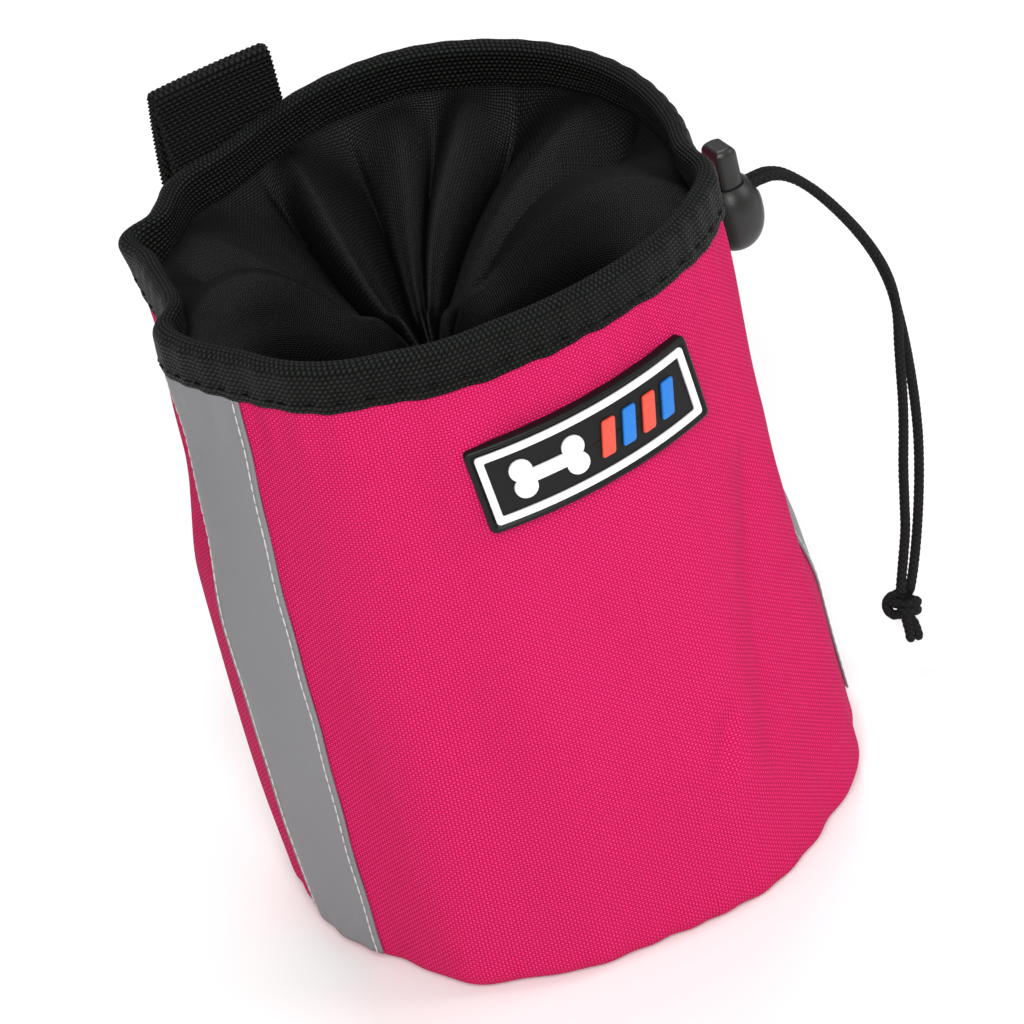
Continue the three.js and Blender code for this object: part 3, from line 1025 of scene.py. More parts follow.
@dataclass(frozen=True)
class BagShape:
    """The wall's outside: a soft tube that widens a little towards the bottom."""

    height: float = 138 * MM
    rim_radius: float = 55.2 * MM
    base_radius: float = 57.6 * MM
    corner: float = 5 * MM
    rim_outline: tuple[tuple[float, float], ...] = (
        (-15, 50.0 * MM), (0, 50.2 * MM), (14, 50.6 * MM), (30, 51.6 * MM), (43, 52.6 * MM), (53, 52.8 * MM),
        (65, 49.3 * MM), (76, 49.6 * MM), (88, 50.8 * MM), (98, 52.4 * MM), (112, 55.0 * MM),
        (125, 57.3 * MM), (140, 59.2 * MM), (155, 60.6 * MM), (170, 59.4 * MM), (186, 56.2 * MM),
        (199, 53.9 * MM), (212, 55.2 * MM), (224, 54.2 * MM), (234, 54.4 * MM), (243, 52.8 * MM),
        (255, 50.6 * MM), (263, 51.0 * MM), (270, 55.4 * MM), (279, 55.4 * MM), (292, 54.0 * MM),
        (304, 54.8 * MM), (315, 54.0 * MM), (325, 51.9 * MM), (335, 51.2 * MM))
    rim_flares: tuple[Bend, ...] = (Bend(-127, 5, 3.8 * MM), Bend(-146, 8, 1.0 * MM), Bend(56, 6, 0.8 * MM))
    flare_height: float = 6 * MM
    waist_bends: tuple[Bend, ...] = (Bend(-118, 36, 3.8 * MM), Bend(80, 28, -0.8 * MM))
    base_bends: tuple[Bend, ...] = (
        Bend(-48, 12, 4.2 * MM), Bend(60, 20, -0.8 * MM), Bend(-75, 13, 1.4 * MM),
        Bend(-28, 8, 1.5 * MM), Bend(12, 7, 1.0 * MM), Bend(-10, 6, -0.6 * MM), Bend(33, 6, -0.7 * MM),
        Bend(48, 7, 1.2 * MM), Bend(82, 9, 0.8 * MM), Bend(118, 12, 1.0 * MM), Bend(-140, 12, -0.8 * MM),
        Bend(165, 12, 0.9 * MM))
    creases: tuple[Crease, ...] = (
        Crease((38, 86 * MM), (27, 66 * MM), 5.5 * MM, -1.8 * MM, 0.9 * MM),
        Crease((26, 62 * MM), (21, 26 * MM), 5.0 * MM, -1.8 * MM, 0.8 * MM),
        Crease((16, 104 * MM), (34, 84 * MM), 6.0 * MM, -0.7 * MM),
        Crease((-26, 119 * MM), (-26, 102 * MM), 7.0 * MM, 1.5 * MM),
        Crease((24, 119 * MM), (24, 102 * MM), 7.0 * MM, 1.5 * MM),
        Crease((12, 43 * MM), (7, 33 * MM), 2.4 * MM, -1.3 * MM),
        Crease((3, 38 * MM), (24, 20 * MM), 3.0 * MM, 0.7 * MM, 0.4 * MM),
        Crease((26, 22 * MM), (46, 20 * MM), 3.6 * MM, -0.8 * MM),
        Crease((-50, 92 * MM), (-34, 46 * MM), 9.0 * MM, -1.0 * MM),
        Crease((-12, 74 * MM), (2, 50 * MM), 8.0 * MM, -0.7 * MM),
        Crease((-109, 120 * MM), (-107, 84 * MM), 17.0 * MM, -4.6 * MM),
        Crease((70, 104 * MM), (65, 50 * MM), 14.0 * MM, -6.0 * MM),
        Crease((84, 88 * MM), (80, 54 * MM), 11.0 * MM, -1.8 * MM),
        Crease((-124, 132 * MM), (-128, 96 * MM), 6.0 * MM, 1.2 * MM),
        Crease((120, 118 * MM), (138, 56 * MM), 7.0 * MM, -1.2 * MM),
        Crease((168, 52 * MM), (200, 30 * MM), 6.0 * MM, -1.0 * MM),
        Crease((215, 104 * MM), (232, 40 * MM), 8.0 * MM, 1.1 * MM))
    seam_height: float = 128 * MM

    def rise(self, z: np.ndarray) -> np.ndarray:
        """How much of the rim's shape the wall has at a height."""
        return np.clip(z / self.height, 0, 1) ** 1.6

    def radius(self, z: np.ndarray) -> np.ndarray:
        """The wall's outside before the cloth is pushed about."""
        return mix(self.base_radius, self.rim_radius, self.rise(z))

    def slack(self, angle: np.ndarray, z: np.ndarray) -> np.ndarray:
        """How far flares, creases and puckers push the cloth out at a place.

        Args:
            angle: radians round the pouch.
            z: heights.

        Returns:
            The push, outwards.
        """
        near_rim = np.exp(-((self.height - z) / self.flare_height) ** 2)
        flares = sum(bend.amount(angle) for bend in self.rim_flares) * near_rim
        creases = sum(crease.amount(angle, z, self.base_radius) for crease in self.creases)
        swell = 0.45 * MM * np.sin(3 * angle + 40 * z) * np.sin(55 * z + 1.2 * np.sin(2 * angle))
        below_seam = np.exp(-((z - self.seam_height + 4 * MM) / (6 * MM)) ** 2)
        puckers = 0.16 * MM * below_seam * np.sin(46 * angle + 2 * np.sin(5 * angle))
        near_base = np.exp(-(z / (11 * MM)) ** 2)
        gathers = 0.22 * MM * near_base * np.sin(37 * angle + 2.6 * np.sin(4 * angle))
        return flares + creases + swell + puckers + gathers

    def rim(self, angle: np.ndarray) -> np.ndarray:
        """How far the rim's uneven outline stands off its true circle.

        Args:
            angle: radians round the pouch.

        Returns:
            The distance, outwards.
        """
        first, last = self.rim_outline[0], self.rim_outline[-1]
        closed = [(last[0] - 360, last[1]), *self.rim_outline, (first[0] + 360, first[1])]
        line = smooth_line(np.array(closed) * [MM, 1], 0.3 * MM)
        degrees = (np.degrees(angle) - first[0]) % 360 + first[0]
        return np.interp(degrees * MM, line[:, 0], line[:, 1]) - self.rim_radius

    def reach(self, angle: np.ndarray, lift: np.ndarray, z: np.ndarray) -> np.ndarray:
        """How far the surface lies from the middle, a lift outside the wall.

        Args:
            angle: radians round the pouch.
            lift: the lift outside the wall.
            z: heights.

        Returns:
            The distance from the middle.
        """
        along = np.clip(z / self.height, 0, 1)
        rim = self.rim(angle)
        base = sum(bend.amount(angle) for bend in self.base_bends)
        waist = sum(bend.amount(angle) for bend in self.waist_bends) * np.sin(math.pi * along)
        stretch = 1 + (mix(base, rim, self.rise(z)) + waist) / self.radius(z)
        return (self.radius(z) + lift) * stretch + self.slack(angle, z)

    def point(self, angle: np.ndarray, lift: np.ndarray, z: np.ndarray) -> np.ndarray:
        """The place at an angle, a lift outside the wall, and a height.

        Args:
            angle: radians round the pouch.
            lift: the lift outside the wall.
            z: heights.

        Returns:
            The places, with x, y and z last.
        """
        angle, lift, z = np.broadcast_arrays(angle, lift, z)
        reach = self.reach(angle, lift, z)
        return np.stack([reach * np.sin(angle), -reach * np.cos(angle), z], -1)

    def back_depth(self, x: np.ndarray, z: np.ndarray) -> np.ndarray:
        """How far behind the middle the wall's back lies at a sideways distance."""
        angle = math.pi - np.arcsin(x / self.radius(z))
        return -np.cos(angle) * self.reach(angle, 0.0, z)


OUTER_CLOTH = 0.9 * MM
THIN_CLOTH = 0.5 * MM
TAPE_THICKNESS = 0.8 * MM
GAP = 0.2 * MM
LINING_DEPTH = OUTER_CLOTH + GAP
COLLAR_DEPTH = LINING_DEPTH + THIN_CLOTH + GAP
BINDING_DEPTH = COLLAR_DEPTH + THIN_CLOTH + GAP
CORD_HEIGHT = 111.2 * MM
CORD_HOLE = 2.8 * MM


@dataclass
class Bag:
    """The outer wall, its base, the inner bag and the binding round the rim."""

    shape: BagShape
    shop: Workshop
    stitches: StitchTree
    columns: int = 480
    wall_rows: int = 130
    lining_columns: int = 240
    lining_rows: int = 60
    base_columns: int = 180
    base_rows: int = 30
    cloth_top: float = 135.4 * MM
    binding_outside: float = 9 * MM
    binding_inside: float = 8.5 * MM
    binding_columns: int = 720
    base_sag: float = 0.35 * MM
    base_pucker: float = 0.25 * MM
    pebble_height: float = 0.03 * MM
    stitch_step: float = 1.2 * MM

    def angles(self, columns: int) -> np.ndarray:
        """Even angles round the bag, one for each column."""
        return np.arange(columns) / columns * 2 * math.pi

    def skin(self, name: str, depth: float, thickness: float, columns: int, rows: int) -> Piece:
        """One skin of the bag: its wall, the soft bottom corner and the edge that is turned under.

        Args:
            name: the object's name.
            depth: how deep its outside lies under the wall's outside.
            thickness: the cloth's thickness.
            columns: how many steps go round.
            rows: how many steps go up.

        Returns:
            The skin with its thickness.
        """
        turn = np.radians(np.linspace(-90, 0, 9))
        inset = self.shape.corner - depth
        corner_lift = inset * np.cos(turn) - self.shape.corner
        corner_z = self.shape.corner + inset * np.sin(turn)
        lift = np.concatenate([[corner_lift[0] - 6 * MM, corner_lift[0] - 3 * MM], corner_lift,
                               np.full(rows, -depth)])
        z = np.concatenate([corner_z[:1], corner_z[:1], corner_z,
                            np.linspace(self.shape.corner, self.cloth_top, rows + 1)[1:]])
        angle = self.angles(columns)
        points = self.shape.point(angle[None, :], lift[:, None], z[:, None])
        points[..., 2] = z[:, None]
        length = np.concatenate([[0], np.cumsum(np.hypot(np.diff(lift), np.diff(z)))])
        around = np.arange(columns + 1) / columns * 2 * math.pi * self.shape.rim_radius
        flat = np.stack(np.meshgrid(around, length), -1)
        cloth = face_outwards(quad_grid(name, points, flat, wrap=True))
        self.cut_cord_hole(cloth)
        return thicken(cloth, thickness)

    def cut_cord_hole(self, cloth: Piece) -> None:
        """Opens the round hole that the drawcord comes out of.

        Args:
            cloth: the wall that is cut.
        """
        def off(point: Vector) -> float:
            """How far a place lies from the hole's middle line."""
            return math.hypot(point.y, point.z - CORD_HEIGHT)

        def change(work: bmesh.types.BMesh) -> None:
            """Deletes what lies in the hole and pulls its edge into a circle.

            Args:
                work: the wall's mesh.
            """
            inside = [v for v in work.verts if v.co.x > 0 and off(v.co) < CORD_HOLE]
            bmesh.ops.delete(work, geom=inside, context="VERTS")
            for vert in work.verts:
                if vert.is_boundary and vert.co.x > 0 and off(vert.co) < 2 * CORD_HOLE:
                    scale = CORD_HOLE / off(vert.co)
                    vert.co.y *= scale
                    vert.co.z = CORD_HEIGHT + (vert.co.z - CORD_HEIGHT) * scale
        edit_mesh(cloth, change)

    def disc(self, name: str, depth: float, thickness: float) -> Piece:
        """A round bottom panel that sags a little and puckers at its seam.

        Args:
            name: the object's name.
            depth: its height above the floor.
            thickness: the cloth's thickness.

        Returns:
            The panel with its thickness.
        """
        angle = self.angles(self.base_columns)
        share = np.linspace(0.02, 1, self.base_rows)
        edge = self.shape.base_radius - self.shape.corner - GAP
        radius = share[:, None] * edge
        base = sum(bend.amount(angle) for bend in self.shape.base_bends)
        reach = radius * (1 + share[:, None] * base[None, :] / self.shape.base_radius)
        sag = self.base_sag * (1 + np.sin(2 * angle + 1)) * np.sin(math.pi * share[:, None]) ** 2
        puckers = self.base_pucker * (1 + np.sin(40 * angle)) * smooth_step(0.86, 1.0, share[:, None])
        z = depth + sag + puckers
        points = np.stack([reach * np.sin(angle), -reach * np.cos(angle), z], -1)
        flat = points[..., :2]
        flat = np.concatenate([flat, flat[:, :1]], 1)
        panel = quad_grid(name, points, flat, wrap=True)
        edit_mesh(panel, lambda work: bmesh.ops.contextual_create(work, geom=[
            border for border in work.edges if border.is_boundary and border.verts[0].co.xy.length < 5 * MM]))
        face_outwards(panel)
        turn_down(panel)
        return thicken(panel, thickness)

    def binding(self) -> Piece:
        """The woven tape folded over the rim, with a pebbled face on all its visible sides.

        Returns:
            The tape as one closed object.
        """
        lift = GAP + TAPE_THICKNESS
        outer_foot = self.shape.height - self.binding_outside
        inner_foot = self.shape.height - self.binding_inside
        bend = (BINDING_DEPTH + TAPE_THICKNESS + lift) / 2
        shoulder = self.shape.height - bend
        outside = np.array([[lift - 0.15 * MM, outer_foot], [lift, outer_foot + 0.6 * MM],
                            [lift, (outer_foot + shoulder) / 2]])
        top = arc_points((lift - bend, shoulder), bend, 0, 180, 12)
        inside = np.array([[-BINDING_DEPTH - TAPE_THICKNESS, (shoulder + inner_foot) / 2],
                           [-BINDING_DEPTH - TAPE_THICKNESS, inner_foot + 0.6 * MM],
                           [-BINDING_DEPTH - TAPE_THICKNESS + 0.15 * MM, inner_foot]])
        face = even_steps(np.vstack([outside, top, inside]), BINDING_PEBBLE / 2)
        back = even_steps(np.vstack([
            [[-BINDING_DEPTH, inner_foot], [-BINDING_DEPTH, shoulder]],
            arc_points((lift - bend, shoulder), bend - TAPE_THICKNESS, 180, 0, 8),
            [[GAP, shoulder], [GAP, outer_foot]]]), 1.5 * MM)
        section = np.vstack([face, back])
        angle = self.angles(self.binding_columns)
        row = np.arange(len(section))
        pebble = np.where((row[:, None] + np.arange(self.binding_columns)[None, :]) % 2 == 0, 0.5, -0.5)
        pebble = pebble * self.pebble_height * (row[:, None] < len(face))
        outward = np.zeros_like(section)
        outward[:len(face)] = np.gradient(face, axis=0)[:, ::-1] * [1, -1]
        outward /= np.maximum(np.linalg.norm(outward, axis=1), 1e-9)[:, None]
        wave = 0.18 * MM * np.sin(23 * angle + 2 * np.sin(3 * angle)) + 0.2 * MM * np.sin(7 * angle)
        foot = np.exp(-((section[:, 1] - outer_foot) / (4 * MM)) ** 2)[:, None]
        thick = 0.12 * MM * np.sin(57 * angle + np.sin(9 * angle))
        lifts = section[:, :1] + outward[:, :1] * pebble + thick * (outward[:, :1] > 0.5)
        heights = section[:, 1:] + outward[:, 1:] * pebble + wave * foot + 0.25 * MM * np.sin(5 * angle + 1)
        points = self.shape.point(angle[None, :], lifts, heights)
        around = np.arange(self.binding_columns + 1) * BINDING_PEBBLE / 2
        along = np.arange(len(section) + 1) * BINDING_PEBBLE / 2
        flat = np.stack(np.meshgrid(around, along), -1)
        return face_outwards(quad_grid("binding_tape_round", points, flat, wrap=True, close=True))

    def seam(self, lift: float, z: float) -> np.ndarray:
        """A line round the bag for stitches."""
        angle = np.arange(0, 2 * math.pi, self.stitch_step / self.shape.rim_radius)
        return self.shape.point(angle, np.full_like(angle, lift), np.full_like(angle, z))

    def build(self) -> None:
        """Makes and dresses every piece of the bag."""
        dress = self.shop.dress
        dress(self.skin("outer_wall", 0.0, OUTER_CLOTH, self.columns, self.wall_rows),
              Finish.SHELL, "pouch", ["outer_panel"])
        dress(self.disc("outer_base", 0.1 * MM, OUTER_CLOTH), Finish.SHELL, "pouch", ["base_panel"])
        dress(self.skin("inner_wall", LINING_DEPTH, THIN_CLOTH, self.lining_columns,
                        self.lining_rows), Finish.LINING, "pouch", ["lining_wall"])
        dress(self.disc("inner_base", LINING_DEPTH + 0.2 * MM, THIN_CLOTH), Finish.LINING, "pouch",
              ["lining_base"])
        dress(self.binding(), Finish.BINDING, "pouch", ["rim_binding"])
        materials = self.shop.materials
        outer_foot = self.shape.height - self.binding_outside
        inner_foot = self.shape.height - self.binding_inside
        proud = TAPE_THICKNESS + 0.02 * MM
        outer = self.seam(GAP + proud, outer_foot + 1.7 * MM)
        inner = self.seam(-BINDING_DEPTH - proud, inner_foot + 2.1 * MM)
        dress(self.stitches.sew("binding_stitches", [outer, inner], materials[Finish.BLACK_THREAD],
                                2.8 * MM, 2.2 * MM, 0.42 * MM, seed=3), Finish.BLACK_THREAD, "pouch")
        angle = np.arange(0, 2 * math.pi, 0.02)
        base_seam = self.shape.point(angle, np.full_like(angle, -self.shape.corner - 2.6 * MM),
                                     np.full_like(angle, 0.05 * MM))
        dress(self.stitches.sew("base_stitches", [base_seam], materials[Finish.SHELL_THREAD],
                                3.0 * MM, 2.4 * MM, 0.4 * MM, seed=4), Finish.SHELL_THREAD, "pouch")
        self.buttonhole()

    def buttonhole(self) -> None:
        """The thread wrapped round the edge of the cord's hole."""
        round_hole = np.linspace(0, 2 * math.pi, 40)
        radius = CORD_HOLE + 0.25 * MM
        y = radius * np.cos(round_hole)
        z = CORD_HEIGHT + radius * np.sin(round_hole)
        angle = np.arctan2(self.shape.rim_radius, -y)
        ring = self.shape.point(angle, np.full_like(angle, -0.3 * MM), z)

        def relief(turn: np.ndarray, length: np.ndarray) -> np.ndarray:
            """Thread after thread, side by side round the hole."""
            return 0.1 * MM * np.sin(2 * math.pi * length / (0.5 * MM)) + 0 * turn

        edge = tube("cord_hole_edge", even_steps(ring, 0.12 * MM), 0.55 * MM, 8, relief)
        self.shop.dress(edge, Finish.SHELL_THREAD, "pouch")


# ---- The gathered collar ----


@dataclass(frozen=True)
class Pleat:
    """One fold of the collar, from the valley before it to the next pleat's valley.

    at is the valley's angle at the rim and inner its angle at the gather, in degrees; depth is how
    far the valley sinks under the ridge, arch how far the ridge stands above a straight fall, and
    crest how far across the pleat its ridge lies.
    """

    at: float
    inner: float
    depth: float
    arch: float = 0.0
    crest: float = 0.5


@dataclass
class Collar:
    """The thin cloth that falls inwards from the rim and is gathered shut on the drawcord."""

    shape: BagShape
    shop: Workshop
    centre: tuple[float, float] = (-6.5 * MM, -2.5 * MM)
    gather_height: float = 104 * MM
    gather_radius: float = 2.2 * MM
    foot: float = 128.6 * MM
    top: float = 134.5 * MM
    columns: int = 280
    rows: int = 42
    hidden_rows: int = 4
    cloth: float = 0.45 * MM
    cut: tuple[float, float] = (327 * MM, 65 * MM)
    pleats: tuple[Pleat, ...] = (
        Pleat(100, 122, 17 * MM, 2 * MM),
        Pleat(136, 149, 10 * MM, 1 * MM, crest=0.6),
        Pleat(153, 161, 7 * MM, 0.5 * MM, crest=0.4),
        Pleat(170, 170, 16 * MM, 5 * MM, crest=0.66),
        Pleat(193, 199, 9 * MM, 2 * MM, crest=0.62),
        Pleat(228, 216, 20 * MM, 13 * MM, crest=0.52),
        Pleat(282, 244, 14 * MM, -16 * MM),
        Pleat(316, 296, 12 * MM, -17 * MM),
        Pleat(350, 350, 12 * MM, -16 * MM),
        Pleat(392, 428, 22 * MM, 14 * MM, crest=0.4))

    def folds(self, angle: np.ndarray, fall: np.ndarray) -> tuple[np.ndarray, ...]:
        """Where each strip of the cloth lies.

        Args:
            angle: the strip's angle at the rim, in radians, columns long.
            fall: the share of the way from the rim to the gather, rows by 1.

        Returns:
            The strip's angle at that fall, its height in its pleat from 0 in the valley to 1 on
            the ridge, the pleat's depth, its arch and the place in the pleat from 0 to 1.
        """
        starts = np.array([pleat.at for pleat in self.pleats] + [self.pleats[0].at + 360.0])
        inner = np.array([pleat.inner for pleat in self.pleats] + [self.pleats[0].inner + 360.0])
        degrees = (np.degrees(angle) - starts[0]) % 360 + starts[0]
        number = np.clip(np.searchsorted(starts, degrees, side="right") - 1, 0, len(self.pleats) - 1)
        share = (degrees - starts[number]) / (starts[number + 1] - starts[number])
        depth = np.array([pleat.depth for pleat in self.pleats])[number]
        arch = np.array([pleat.arch for pleat in self.pleats])[number]
        crest = np.array([pleat.crest for pleat in self.pleats])[number]
        turn = smooth_step(0.0, 1.0, fall) ** 0.8
        low = mix(starts[number], inner[number], turn)
        high = mix(starts[number + 1], inner[number + 1], turn)
        pinch = 0.6 * smooth_step(0.0, 0.5, fall)
        placed = share - pinch * np.sin(2 * math.pi * share) / (2 * math.pi)
        wave = np.sin(math.pi * share ** (math.log(0.5) / np.log(crest)))
        tent = 1 - np.abs(share - crest) / np.where(share < crest, crest, 1 - crest)
        ridge = mix(np.clip(wave, 0, 1), tent, 0.4) ** mix(1.1, 0.7, smooth_step(0, 0.35, fall))
        return np.radians(mix(low, high, placed)), ridge, depth, arch, share

    def surface(self) -> np.ndarray:
        """The collar's middle surface, rows by columns by 3.

        Returns:
            The points of the grid.
        """
        angle = np.arange(self.columns) / self.columns * 2 * math.pi
        fall = np.linspace(0, 1, self.rows - self.hidden_rows)[:, None]
        bearing, ridge, depth, arch, share = self.folds(angle, fall)
        middle = COLLAR_DEPTH + THIN_CLOTH / 2
        edge = self.shape.reach(angle, -middle, np.full_like(angle, self.foot)) - 0.6 * MM
        reach = mix(edge, self.gather_radius, fall)
        to_centre = smooth_step(0, 1, fall)
        drop = self.foot - self.gather_height
        line = self.foot - drop * fall ** 0.92
        sink = (1 - np.exp(-fall / 0.16)) * (1 - 0.45 * fall)
        hump = 5.0 * MM * np.exp(-((reach - 8 * MM) / (4.2 * MM)) ** 2) * ridge ** 1.4
        z = line + arch * np.sin(math.pi * fall ** 0.8) - depth * sink * (1 - ridge) + hump
        z += 0.5 * MM * smooth_step(0.25, 0.9, fall) * np.sin(2 * math.pi * (3 * share + 130 * depth)) * ridge
        z += 0.3 * MM * np.sin(math.pi * fall) * np.sin(11 * angle + 5 * fall + 2)
        x = reach * np.sin(bearing) + self.centre[0] * to_centre
        y = -reach * np.cos(bearing) + self.centre[1] * to_centre
        body = np.stack([x, y, z], -1)
        heights = np.linspace(self.top, self.foot + 0.8 * MM, self.hidden_rows)[:, None]
        sewn = self.shape.point(angle[None, :], -middle, heights)
        return np.concatenate([sewn, body])

    def build(self) -> None:
        points = self.surface()
        around = np.arange(self.columns + 1) / self.columns * self.cut[0]
        along = np.linspace(0, self.cut[1], self.rows)
        flat = np.stack(np.meshgrid(around, along), -1)
        cloth = quad_grid("gathered_collar", points, flat, wrap=True)
        face_outwards(cloth)
        round_off = cloth.modifiers.new("smooth", "SUBSURF")
        round_off.levels = round_off.render_levels = 1
        settle_modifiers(cloth)
        thicken(cloth, self.cloth, offset=0)
        self.shop.dress(cloth, Finish.LINING, "pouch", ["closure_collar"])


# ---- Reflective strips ----


@dataclass
class Strip:
    """A length of reflective tape sewn up the wall, with a row of stitches inside each edge."""

    shape: BagShape
    shop: Workshop
    stitches: StitchTree
    side: str
    angle: float
    lean: float = 0.0
    width: float = 22.8 * MM
    foot: float = 3.5 * MM
    top: float = 130 * MM
    thickness: float = 0.4 * MM
    stitch_inset: float = 1.35 * MM

    def edge(self, inset: np.ndarray, z: np.ndarray) -> np.ndarray:
        """The angle of a line that lies an inset from the tape's middle, a little wavy.

        Args:
            inset: how far from the tape's middle.
            z: heights.

        Returns:
            Radians round the pouch.
        """
        wave = 0.25 * MM * np.sin(95 * z + self.angle) + 0.12 * MM * np.sin(310 * z + 2 * self.angle)
        middle = math.radians(self.angle) + math.radians(self.lean) * (1 - z / self.shape.height)
        return middle + (inset + wave) / self.shape.reach(middle, 0.0, z)

    def build(self) -> None:
        """Makes and dresses the tape and its stitches."""
        across = np.linspace(-0.5, 0.5, 27) * self.width
        z = np.linspace(self.foot, self.top, 110)
        angle = self.edge(across[None, :], z[:, None])
        held = np.exp(-((np.abs(across) - self.width / 2 + self.stitch_inset) / (0.8 * MM)) ** 2)
        puff = 0.22 * MM * np.sin(150 * z[:, None]) * np.cos(math.pi * across / self.width)[None, :]
        lift = 0.55 * MM - 0.16 * MM * held[None, :] + puff
        points = self.shape.point(angle, lift, z[:, None])
        flat = np.stack(np.meshgrid(across, z), -1)
        tape = quad_grid(f"reflective_tape_{self.side}", points, flat)
        thicken(face_outwards(tape), self.thickness)
        self.shop.dress(tape, Finish.TAPE, "pouch", [f"reflective_strip_{self.side}"])
        rows = []
        for sign in (-1, 1):
            inset = sign * (self.width / 2 - self.stitch_inset)
            line = np.arange(self.foot + 1 * MM, self.top, 0.8 * MM)
            rows.append(self.shape.point(self.edge(inset, line), np.full_like(line, 0.52 * MM), line))
        self.shop.dress(
            self.stitches.sew(f"tape_stitches_{self.side}", rows, self.shop.materials[Finish.PALE_THREAD],
                              2.4 * MM, 2.5 * MM, 0.36 * MM, seed=7), Finish.PALE_THREAD, "pouch")


# ---- Label ----


@dataclass
class Label:
    """A soft moulded patch with a raised lip, a white frame, a bone and four slanted bars."""

    shape: BagShape
    shop: Workshop
    width: float = 46 * MM
    height: float = 17 * MM
    angle: float = -0.4
    level: float = 110.2 * MM
    curve: float = 72 * MM
    tilt: float = 3.5
    mark_base: float = 1.75 * MM
    frame_width: float = 43.0 * MM
    frame_height: float = 14.0 * MM
    frame_stroke: float = 1.4 * MM
    bone_centre: float = -9.5 * MM
    bone_half: float = 5 * MM
    knob_spread: float = 1.7 * MM
    knob_radius: float = 2.15 * MM
    shaft_half: float = 1.3 * MM
    bar_width: float = 2.7 * MM
    bar_height: float = 6.6 * MM
    bar_pitch: float = 4.4 * MM
    first_bar: float = 2.2 * MM
    slant: float = 0.3

    def on_wall(self, points: np.ndarray) -> np.ndarray:
        """Lays flat places on the wall: x round it, y up it and z out of it.

        Args:
            points: the flat places.

        Returns:
            The places on the wall.
        """
        turn = math.radians(self.tilt)
        x = points[:, 0] * math.cos(turn) - points[:, 1] * math.sin(turn)
        y = points[:, 0] * math.sin(turn) + points[:, 1] * math.cos(turn)
        z = self.level + y
        stiff = BagShape(creases=(), rim_flares=())
        middle = math.radians(self.angle)
        front = stiff.reach(middle, GAP, z)
        bend = x / self.curve
        sideways = (self.curve + points[:, 2]) * np.sin(bend)
        outwards = front - self.curve + (self.curve + points[:, 2]) * np.cos(bend)
        return np.column_stack([sideways * math.cos(middle) + outwards * math.sin(middle),
                                sideways * math.sin(middle) - outwards * math.cos(middle), z])

    def rounded(self, width: float, height: float, radius: float, z: float) -> np.ndarray:
        """A rounded rectangle at a height, with many points on its long sides.

        Args:
            width: the whole width.
            height: the whole height.
            radius: the corners' radius.
            z: the height.

        Returns:
            The outline's points.
        """
        corners = round_corners(width, height, radius, 4)
        outline = []
        for index, corner in enumerate(corners):
            following = corners[(index + 1) % 4]
            outline.extend(corner)
            outline.extend(mix(corner[-1], following[0], share) for share in np.linspace(0, 1, 25)[1:-1])
        flat = np.array(outline)
        return np.column_stack([flat, np.full(len(flat), z)])

    def plate(self) -> Piece:
        """The patch itself, lofted over its lip and groove, and closed on a line along its middle.

        Returns:
            The flat patch.
        """
        inset_height = [(0.35, 0), (0.08, 0.12), (0.0, 0.45), (0.0, 1.75), (0.12, 2.1), (0.4, 2.25),
                        (0.75, 2.25), (1.0, 2.12), (1.15, 1.85), (1.4, 1.78), (2.2, 1.8), (4.2, 1.8),
                        (6.4, 1.8), (8.2, 1.8), (8.46, 1.8)]
        rings = []
        for inset, z in inset_height:
            radius = max(1.1 - 0.6 * inset, 0.03) * MM
            width, height = self.width - 2 * inset * MM, self.height - 2 * inset * MM
            rings.append(self.rounded(width, height, radius, z * MM))
        return ring_loft("label_patch", rings)

    def border(self) -> Piece:
        """The white frame, with soft edges.

        Returns:
            The flat frame.
        """
        stroke = self.frame_stroke
        steps = [(0, 0), (0, 0.5), (0.14, 0.66), (0.34, 0.72), (-0.34, 0.72), (-0.14, 0.66), (0, 0.5), (0, 0)]
        rings = []
        for index, (inset, rise) in enumerate(steps):
            outer = index < len(steps) / 2
            shrink = inset * MM if outer else stroke + inset * MM
            radius = 0.7 * MM - 0.3 * shrink if outer else 0.35 * MM
            rings.append(self.rounded(self.frame_width - 2 * shrink, self.frame_height - 2 * shrink,
                                      radius, self.mark_base + rise * MM))
        return ring_loft("label_border", rings, closed=True)

    def bone_outline(self, inset: float, z: float) -> np.ndarray:
        """The outline of a bone: a shaft with two round knobs at each end.

        Args:
            inset: how far inside the bone's edge.
            z: the height.

        Returns:
            The outline's points.
        """
        half, spread = self.bone_half, self.knob_spread
        knob, waist = self.knob_radius - inset, self.shaft_half - inset
        joint = math.degrees(math.asin(max(-1.0, (waist - spread) / knob)))
        cleft = math.degrees(math.asin(-spread / knob)) if knob > spread else -90
        quarter = arc_points((half, spread), knob, 180 - joint, cleft, 14)
        shaft = np.column_stack([np.linspace(0, quarter[0, 0], 8)[:-1], np.full(7, waist)])
        first = np.vstack([shaft, quarter])
        outline = np.vstack([
            first, (first * [1, -1])[::-1][1:], (first * [-1, -1])[1:], (first * [-1, 1])[::-1][1:-1]])
        x = outline[:, 0] + self.bone_centre
        return np.column_stack([x, outline[:, 1], np.full(len(outline), z)])

    def raised(self, name: str, outline: Callable[[float, float], np.ndarray]) -> Piece:
        """A low mark with soft edges, from a function that gives its outline at an inset and a height.

        Args:
            name: the object's name.
            outline: gives the points for an inset and a height.

        Returns:
            The flat mark.
        """
        steps = [(0, 0), (0, 0.42), (0.06, 0.6), (0.2, 0.7)]
        return ring_loft(name, [outline(inset * MM, self.mark_base + rise * MM) for inset, rise in steps])

